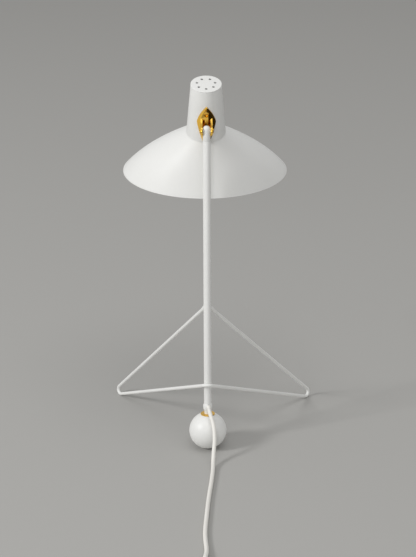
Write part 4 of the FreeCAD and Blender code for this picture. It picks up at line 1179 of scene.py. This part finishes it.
@dataclass
class Bulb:
    """The opal candle bulb with its screw cap, up in the neck."""

    glass_curve: Profile = (
        (9.0 * MM, 15.9 * MM),
        (15.2 * MM, 0.0),
        (17.5 * MM, -17 * MM),
        (12.6 * MM, -40 * MM),
        (2.5 * MM, -57 * MM),
    )
    cap_outline: Profile = (
        (0, 45 * MM),
        (2.6 * MM, 45 * MM),
        (6.5 * MM, 42 * MM),
        (6.5 * MM, 23 * MM),
        (7 * MM, 20 * MM),
        (10 * MM, 17 * MM),
        (9.2 * MM, 16 * MM),
        (0, 16 * MM),
    )
    cap_edge: float = 0.4 * MM
    thread_low: float = 24.5 * MM
    thread_pitch: float = 2.6 * MM
    thread_turns: float = 6.0
    thread_radius: float = 6.45 * MM
    thread_height: float = 0.42 * MM
    thread_points: int = 48
    thread_sides: int = 10

    def arc(self, start: Vector, middle: Vector, end: Vector, steps: int = 24) -> list[tuple[float, float]]:
        """Points on the circle through three points.

        Args:
            start: the first point.
            middle: a point between.
            end: the last point, which isn't among those returned.
            steps: into how many pieces the arc is parted.

        Returns:
            The points, in order.
        """
        one, two = middle - start, end - start
        area = 2 * (one.x * two.y - one.y * two.x)
        across = Vector((
            (two.y * one.length_squared - one.y * two.length_squared) / area,
            (one.x * two.length_squared - two.x * one.length_squared) / area,
        ))
        centre = start + across
        first = start - centre
        whole = first.angle_signed(end - centre)
        turns = (-whole * step / steps for step in range(steps))
        return [tuple(centre + Matrix.Rotation(turn, 2) @ first) for turn in turns]

    def glass(self) -> bpy.types.Mesh:
        """The candle, turned from two arcs that meet at the belly.

        Returns:
            The glass's mesh.
        """
        neck, shoulder, belly, cheek, nose = (Vector(point) for point in self.glass_curve)
        outline = [(0, neck.y)] + self.arc(neck, shoulder, belly) + self.arc(belly, cheek, nose)
        outline += [(nose.x, nose.y), (0, nose.y)]
        return turned_mesh("bulb_envelope", outline, NECK_FRAME, closed=False)

    def tree(self) -> NodeTree:
        """The Geometry Nodes tree that winds the rolled thread round the cap.

        Returns:
            The finished tree.
        """
        nodes = NodeTree(
            "rolled_thread",
            {
                "Turns": ("NodeSocketFloat", self.thread_turns),
                "Pitch": ("NodeSocketFloat", self.thread_pitch),
                "Thread radius": ("NodeSocketFloat", self.thread_radius),
                "Thread height": ("NodeSocketFloat", self.thread_height),
                "Low end": ("NodeSocketFloat", self.thread_low),
            },
        )
        given = nodes.inputs
        rise = nodes.add("ShaderNodeMath", {"operation": "MULTIPLY"}, (given["Turns"], given["Pitch"]))
        helix = nodes.add(
            "GeometryNodeCurveSpiral",
            Resolution=self.thread_points,
            Rotations=given["Turns"],
            Height=rise.outputs[0],
            Start_Radius=given["Thread radius"],
            End_Radius=given["Thread radius"],
        )
        level = nodes.add("ShaderNodeCombineXYZ", Z=given["Low end"])
        placed = nodes.add(
            "GeometryNodeTransform", Geometry=helix.outputs[0], Translation=level.outputs[0]
        )
        ring = nodes.add(
            "GeometryNodeCurvePrimitiveCircle",
            {"mode": "RADIUS"},
            Resolution=self.thread_sides,
            Radius=given["Thread height"],
        )
        wound = nodes.add(
            "GeometryNodeCurveToMesh",
            Curve=placed.outputs[0],
            Profile_Curve=ring.outputs[0],
            Fill_Caps=True,
        )
        both = nodes.add("GeometryNodeJoinGeometry", Geometry=given["Geometry"])
        nodes.tree.links.new(wound.outputs[0], both.inputs[0])
        nodes.finish(both.outputs[0], ROLLED_ALUMINIUM)
        return nodes

    def cap(self) -> bpy.types.Mesh:
        """The rolled cap with its thread.

        Returns:
            The cap's mesh.
        """
        outline = rounded_corners(self.cap_outline, self.cap_edge, closed=False)
        blank = turned_mesh("bulb_screw_cap", outline, Matrix.Identity(4), closed=False)
        mesh = self.tree().applied(loose_piece("bulb_screw_cap", blank))
        mesh.transform(NECK_FRAME)
        return soften(mesh)

    def build(self) -> None:
        """Makes and dresses the glass and the cap."""
        shown_piece("bulb_envelope", self.glass(), Body.HEAD, "bulb_glass")
        shown_piece("bulb_screw_cap", self.cap(), Body.HEAD, "bulb_cap")


@dataclass
class Plug:
    """The flat moulded plug, with ribs on the neck that keeps the cord from kinking."""

    length: float = 35.3 * MM
    corner: float = 2.5 * MM
    corner_steps: int = 6
    sections: Sequence[Point] = (
        (0, 11 * MM, 9.6 * MM),
        (9 * MM, 15 * MM, 11.5 * MM),
        (20 * MM, 26.4 * MM, 13.6 * MM),
        (34.7 * MM, 26.4 * MM, 13.6 * MM),
        (35.3 * MM, 25.2 * MM, 12.4 * MM),
    )
    ring_gap: float = 0.2 * MM
    neck_end: float = 9 * MM
    rib_spacing: float = 1.8 * MM
    rib_depth: float = 0.7 * MM

    def section(self, along: float) -> tuple[float, float]:
        """How big the plug is across.

        Args:
            along: the distance from its cord end.

        Returns:
            Its width and its thickness there.
        """
        for (start, wide, thick), (end, next_wide, next_thick) in zip(self.sections, self.sections[1:]):
            if along <= end:
                share = (along - start) / (end - start)
                return wide + (next_wide - wide) * share, thick + (next_thick - thick) * share
        return self.sections[-1][1:]

    def blank(self, place: Matrix) -> bpy.types.Mesh:
        """The plug without its ribs, as a loft of rounded rectangles.

        Args:
            place: where the middle of its cord end lies.

        Returns:
            The blank's mesh.
        """
        made = bmesh.new()
        count = round(self.length / self.ring_gap)
        rings = []
        for step in range(count + 1):
            along = self.length * step / count
            wide, thick = self.section(along)
            a, b = wide / 2, thick / 2
            corners = [(a, -b), (a, b), (-a, b), (-a, -b)]
            outline = rounded_corners(corners, self.corner, steps=self.corner_steps)
            rings.append([made.verts.new(place @ Vector((x, along, z))) for x, z in outline])
        for one, two in zip(rings, rings[1:]):
            join_rings(made, one, two)
        made.faces.new(rings[0])
        made.faces.new(reversed(rings[-1]))
        return written_out(made, "plug")

    def tree(self, start: float) -> NodeTree:
        """The Geometry Nodes tree that presses the ribs into the neck.

        Args:
            start: how far ahead the plug's cord end lies.

        Returns:
            The finished tree.
        """
        nodes = NodeTree(
            "plug_ribs",
            {
                "Neck start": ("NodeSocketFloat", start),
                "Neck length": ("NodeSocketFloat", self.neck_end),
                "Rib spacing": ("NodeSocketFloat", self.rib_spacing),
                "Rib depth": ("NodeSocketFloat", self.rib_depth),
            },
        )
        given = nodes.inputs
        place = nodes.add("GeometryNodeInputPosition")
        ahead = nodes.add("ShaderNodeSeparateXYZ", Vector=place.outputs[0]).outputs["Y"]
        along = nodes.add("ShaderNodeMath", {"operation": "SUBTRACT"}, (ahead, given["Neck start"]))
        turns = nodes.add("ShaderNodeMath", {"operation": "DIVIDE"}, (along.outputs[0], given["Rib spacing"]))
        phase = nodes.add("ShaderNodeMath", {"operation": "MULTIPLY"}, (turns.outputs[0], 2 * math.pi))
        wave = nodes.add("ShaderNodeMath", {"operation": "COSINE"}, (phase.outputs[0],))
        inward = nodes.add(
            "ShaderNodeMapRange", Value=wave.outputs[0], From_Min=-1.0, To_Min=-1.0, To_Max=0.0
        )
        deep = nodes.add("ShaderNodeMath", {"operation": "MULTIPLY"}, (inward.outputs[0], given["Rib depth"]))
        before = (along.outputs[0], given["Neck length"])
        neck = nodes.add("ShaderNodeMath", {"operation": "LESS_THAN"}, before)
        normal = nodes.add("GeometryNodeInputNormal")
        pressed = nodes.add(
            "ShaderNodeVectorMath", {"operation": "SCALE"}, Vector=normal.outputs[0], Scale=deep.outputs[0]
        )
        moved = nodes.add(
            "GeometryNodeSetPosition",
            Geometry=given["Geometry"],
            Selection=neck.outputs[0],
            Offset=pressed.outputs[0],
        )
        nodes.finish(moved.outputs[0], MOULDED_ABS)
        return nodes

    def build(self) -> bpy.types.Object:
        """Makes and dresses the plug.

        Returns:
            The plug's piece.
        """
        low, high = (Vector(corner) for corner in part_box("plug_body"))
        start = Vector(((low.x + high.x) / 2, low.y, (low.z + high.z) / 2))
        blank = loose_piece("plug", self.blank(Matrix.Translation(start)))
        return shown_piece("plug", soften(self.tree(start.y).applied(blank)), Body.BASE, "plug_body")


@dataclass
class SmallParts:
    """The pieces that keep their solid's shape, with their edges rounded as real ones are."""

    edges: dict[str, float] = field(
        default_factory=lambda: {
            "stem_tip": 0.25 * MM,
            "brass_clevis": 0.3 * MM,
            "leaf_screws": 0.45 * MM,
            "pivot_screw_left": 0.2 * MM,
            "pivot_screw_right": 0.2 * MM,
            "friction_washer_left": 0.1 * MM,
            "friction_washer_right": 0.1 * MM,
            "holder_bracket": 0.15 * MM,
            "holder_nut": 0.3 * MM,
            "lampholder_body": 0.5 * MM,
            "lampholder_shell": 0.2 * MM,
            "switch_base": 0.5 * MM,
            "switch_cover": 0.6 * MM,
            "switch_rocker": 0.4 * MM,
            "switch_screws": 0.15 * MM,
            "plug_pins": 0.2 * MM,
            "cord_grommet": 0.15 * MM,
        }
    )

    def build(self) -> dict[str, bpy.types.Object]:
        """Makes, binds and dresses each piece.

        Returns:
            The pieces, by their solid's name.
        """
        made: dict[str, bpy.types.Object] = {}
        held = frame["record"]["behaviour"]["bodies"]
        bodies = {name: body for body, names in held.items() for name in names}
        for node, bevel in self.edges.items():
            made[node] = shown_piece(f"{node}_eased", eased_solid(node, bevel), Body(bodies[node]), node)
        return made


@dataclass
class Cable:
    """The mains cord with its mouth at the stem, its switch, its put-away coil and its plug."""

    diameter: float = 5.5 * MM
    mouth: Mouth = Mouth()
    switch_start: Point = (0.010, -0.318, 0.007)
    switch_length: float = 56 * MM
    coil_approach: float = 38 * MM
    coil_radius: float = 43 * MM
    coil_step: float = 6.7 * MM
    half_turns: int = 13
    points_per_quarter: int = 4
    plug_centre: float = 6.8 * MM
    mouth_reach: float = 10 * MM
    switch_reach: float = 12 * MM
    coil_lead: float = 10 * MM
    plug_leads: tuple[float, float, float] = (8 * MM, 22 * MM, 30 * MM)
    route: tuple[Point, ...] = (
        (0.0093, -0.0250, 0.0445),
        (0.0111, -0.0355, 0.0295),
        (0.0098, -0.0445, 0.0150),
        (0.0095, -0.0565, 0.0064),
        (0.0099, -0.0720, 0.0033),
        (0.0096, -0.1000, 0.0029),
        (0.0076, -0.1480, 0.0029),
        (0.0071, -0.1960, 0.0029),
        (0.0069, -0.2420, 0.0029),
        (0.0117, -0.2800, 0.0033),
        (0.0100, -0.3010, 0.0070),
        (0.0100, -0.3180, 0.0070),
    )

    def coil_points(self) -> list[Vector]:
        """The control points of the coil: inwards on the table, up a layer, outwards again.

        Returns:
            The points, in order.
        """
        start = Vector(self.switch_start)
        behind = start.y - self.switch_length - self.coil_approach
        middle = Vector((start.x - self.coil_radius, behind, 0))
        step = math.pi / 2 / self.points_per_quarter
        # The curve runs inside its control points, so these stand a little further out.
        widen = 1 / ((math.cos(step) + 1) / 2) ** 0.5
        inward = self.half_turns - 1
        points = []
        total = 2 * self.half_turns * self.points_per_quarter
        for number in range(total + 1):
            quarter = number / self.points_per_quarter
            turned = min(quarter, inward) + min(0, inward + 2 - quarter)
            reach = self.coil_radius - turned * self.coil_step / 4
            climb = min(max((quarter - inward) / 2, 0), 1)
            height = self.diameter / 2 + self.coil_step * climb * climb * (3 - 2 * climb)
            angle = -math.pi / 2 * quarter
            spoke = Vector((math.cos(angle), math.sin(angle), 0))
            points.append(middle + spoke * reach * widen + Z_AXIS * height)
        return points

    def line(self) -> list[Vector]:
        """All the control points, from the mouth to the plug.

        Returns:
            The points, in order.
        """
        mouth = self.mouth.frame() @ Vector((0, 0, self.mouth.sleeve_end))
        start = Vector(self.switch_start)
        end = start - Y_AXIS * self.switch_length
        coil = self.coil_points()
        first = Vector((coil[0].x, coil[0].y, 0)) + Z_AXIS * self.diameter / 2
        last = coil[-1]
        level = Z_AXIS * (self.plug_centre - last.z)
        off, near, far = self.plug_leads
        return [
            mouth,
            mouth + self.mouth.out() * self.mouth_reach,
            *(Vector(point) for point in self.route),
            start - Y_AXIS * self.switch_length / 2,
            end,
            end - Y_AXIS * self.switch_reach,
            first + Y_AXIS * self.coil_lead,
            *coil,
            last + Y_AXIS * off,
            last + Y_AXIS * near + level,
            last + Y_AXIS * far + level,
        ]

    def build(self, carried: list[bpy.types.Object]) -> None:
        """Makes the cord as one tube.

        Args:
            carried: the switch's and the plug's pieces, which lie where the cord goes; not used.
        """
        curve = bpy.data.curves.new("mains_cord", "CURVE")
        curve.dimensions = "3D"
        # The bevel is 1 m times each point's radius, and the bounds grow by that radius too. So the
        # points carry the cord's real one.
        curve.bevel_depth = 1.0
        curve.bevel_resolution = 5
        curve.resolution_u = 6
        curve.use_fill_caps = True
        points = self.line()
        spline = curve.splines.new("NURBS")
        spline.points.add(len(points) - 1)
        for control, point in zip(spline.points, points):
            control.co = (*point, 1)
            control.radius = self.diameter / 2
        spline.order_u = 3
        spline.use_endpoint_u = True
        cord = new_piece("mains_cord", curve, Body.BASE, ("cord_free", "cord_coil"))
        PVC_SHEATH.dress(cord, "cord_sheath")


# ------------------------------------------------------------------ studio


@dataclass
class Studio:
    """The plain table, the pale room, the window, fill and ceiling lights, the cards and the camera."""

    floor_colour: str = "#B0AFAC"
    wall_colour: str = "#D6D6D4"
    eye: Point = (0.094557, -1.945326, 0.997978)
    yaw: float = math.radians(-2.734)
    pitch: float = math.radians(21.141)
    roll: float = math.radians(-0.406)
    lens: float = 103.41
    floor_half: float = 6.0
    aim: Point = (0, 0.08, 0.25)
    room_strength: float = 0.45
    wall_strength: float = 1.0

    def camera(self) -> None:
        """The camera at the photograph's place."""
        level_part = math.cos(self.pitch)
        ahead = Vector(
            (math.sin(self.yaw) * level_part, math.cos(self.yaw) * level_part, -math.sin(self.pitch))
        )
        level = Vector((math.cos(self.yaw), -math.sin(self.yaw), 0))
        upward = level.cross(ahead)
        right = level * math.cos(self.roll) + upward * math.sin(self.roll)
        top = right.cross(ahead)
        turn = Matrix((right, top, -ahead)).transposed()
        data = bpy.data.cameras.new("camera")
        data.lens = self.lens
        data.clip_end = 50
        camera = bpy.data.objects.new("camera", data)
        camera.matrix_world = Matrix.Translation(self.eye) @ turn.to_4x4()
        bpy.context.scene.collection.objects.link(camera)
        bpy.context.scene.camera = camera

    def floor(self) -> None:
        """A wide table top that the lamp stands on."""
        mesh = bpy.data.meshes.new("table_top")
        half = self.floor_half
        corners = [(-half, -half, 0), (half, -half, 0), (half, half, 0), (-half, half, 0)]
        mesh.from_pydata(corners, [], [(0, 1, 2, 3)])
        table = bpy.data.objects.new("table_top", mesh)
        bpy.context.scene.collection.objects.link(table)
        paper = Finish("matt_table_paper", self.floor_colour, 1.0, ior=1.0)
        table.data.materials.append(paper.material())

    def lights(self) -> None:
        """The window high on the left, a small fill from the front and the wide ceiling."""
        for name, place, size, power in (
            ("window", (-4.03, -2.25, 2.95), 1.0, 120.0),
            ("fill", (-0.4, -3.9, 1.3), 1.2, 24.0),
            ("ceiling", (0.6, -1.08, 4.95), 4.0, 56.0),
        ):
            data = bpy.data.lights.new(name, "AREA")
            data.shape = "SQUARE"
            data.size = size
            data.energy = power
            lamp = bpy.data.objects.new(name, data)
            lamp.location = place
            lamp.rotation_mode = "QUATERNION"
            lamp.rotation_quaternion = (Vector(self.aim) - Vector(place)).to_track_quat("-Z", "Y")
            bpy.context.scene.collection.objects.link(lamp)

    def card(self, name: str, colour: str, corners: list[Point], faces: list[tuple[int, ...]]) -> None:
        """Stands a card beside the lamp that only what is glossy mirrors.

        Args:
            name: the card's name.
            colour: its sRGB colour.
            corners: its corner points.
            faces: the faces, as the numbers of their corners.
        """
        mesh = bpy.data.meshes.new(name)
        mesh.from_pydata(corners, [], faces)
        card = bpy.data.objects.new(name, mesh)
        card.visible_camera = False
        card.visible_diffuse = False
        card.visible_shadow = False
        bpy.context.scene.collection.objects.link(card)
        card.data.materials.append(Finish(name, colour, 1.0, ior=1.0).material())

    def cards(self) -> None:
        """A dark card to the right, low and upright, and a white one low, for the brass."""
        near, far, front, back, top = 0.32, 1.5, -1.2, 0.9, 1.6
        dark = [(near, front, MM), (near, back, MM), (far, back, MM), (far, front, MM)]
        dark += [(far, back, top), (far, front, top)]
        self.card("dark_card", "#3A3530", dark, [(0, 3, 2, 1), (2, 3, 5, 4)])
        white = [(-far, front, MM), (near, front, MM), (near, back, MM), (-far, back, MM)]
        self.card("white_card", "#F4F3F0", white, [(0, 1, 2, 3)])

    def world(self) -> None:
        """An even pale room, with the wall's own colour where the camera and gloss see it."""
        world = bpy.data.worlds.new("room")
        world.use_nodes = True
        bpy.context.scene.world = world
        tree = world.node_tree
        tree.nodes.clear()
        rays = add_node(tree, "ShaderNodeLightPath")
        either = {"operation": "MAXIMUM"}
        rays_seen = {0: rays.outputs["Is Camera Ray"], 1: rays.outputs["Is Glossy Ray"]}
        direct = add_node(tree, "ShaderNodeMath", either, rays_seen)
        through = {0: direct.outputs[0], 1: rays.outputs["Is Transmission Ray"]}
        seen = add_node(tree, "ShaderNodeMath", either, through)
        lit = {"Color": srgb("#FFFFFF"), "Strength": self.room_strength}
        room = add_node(tree, "ShaderNodeBackground", {}, lit)
        shown = {"Color": srgb(self.wall_colour), "Strength": self.wall_strength}
        wall = add_node(tree, "ShaderNodeBackground", {}, shown)
        mixed = {0: seen.outputs[0], 1: room.outputs[0], 2: wall.outputs[0]}
        both = add_node(tree, "ShaderNodeMixShader", {}, mixed)
        add_node(tree, "ShaderNodeOutputWorld", {}, {"Surface": both.outputs[0]})

    def build(self) -> None:
        """Sets the whole studio up."""
        bpy.context.scene.view_settings.view_transform = "Standard"
        self.camera()
        self.floor()
        self.lights()
        self.cards()
        self.world()


def dress_solids() -> None:
    """Gives every solid that is still shown its finish."""
    for name, (finish, slot) in NODE_FINISHES.items():
        solid = frame["nodes"][name]
        if not solid.hide_render:
            finish.dress(solid, slot)


def main() -> None:
    """Builds the lamp and the studio in order."""
    logging.basicConfig(level=logging.INFO)
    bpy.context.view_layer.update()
    Studio().build()
    BallFoot().build()
    Stem().build()
    WireLegs().build()
    Shade().build()
    Neck().build()
    Bulb().build()
    plug = Plug().build()
    small = SmallParts().build()
    on_cord = [small[name] for name in small if name.startswith(("switch", "plug"))]
    Cable().build([plug, *on_cord])
    dress_solids()


if __name__ == "__main__":
    main()
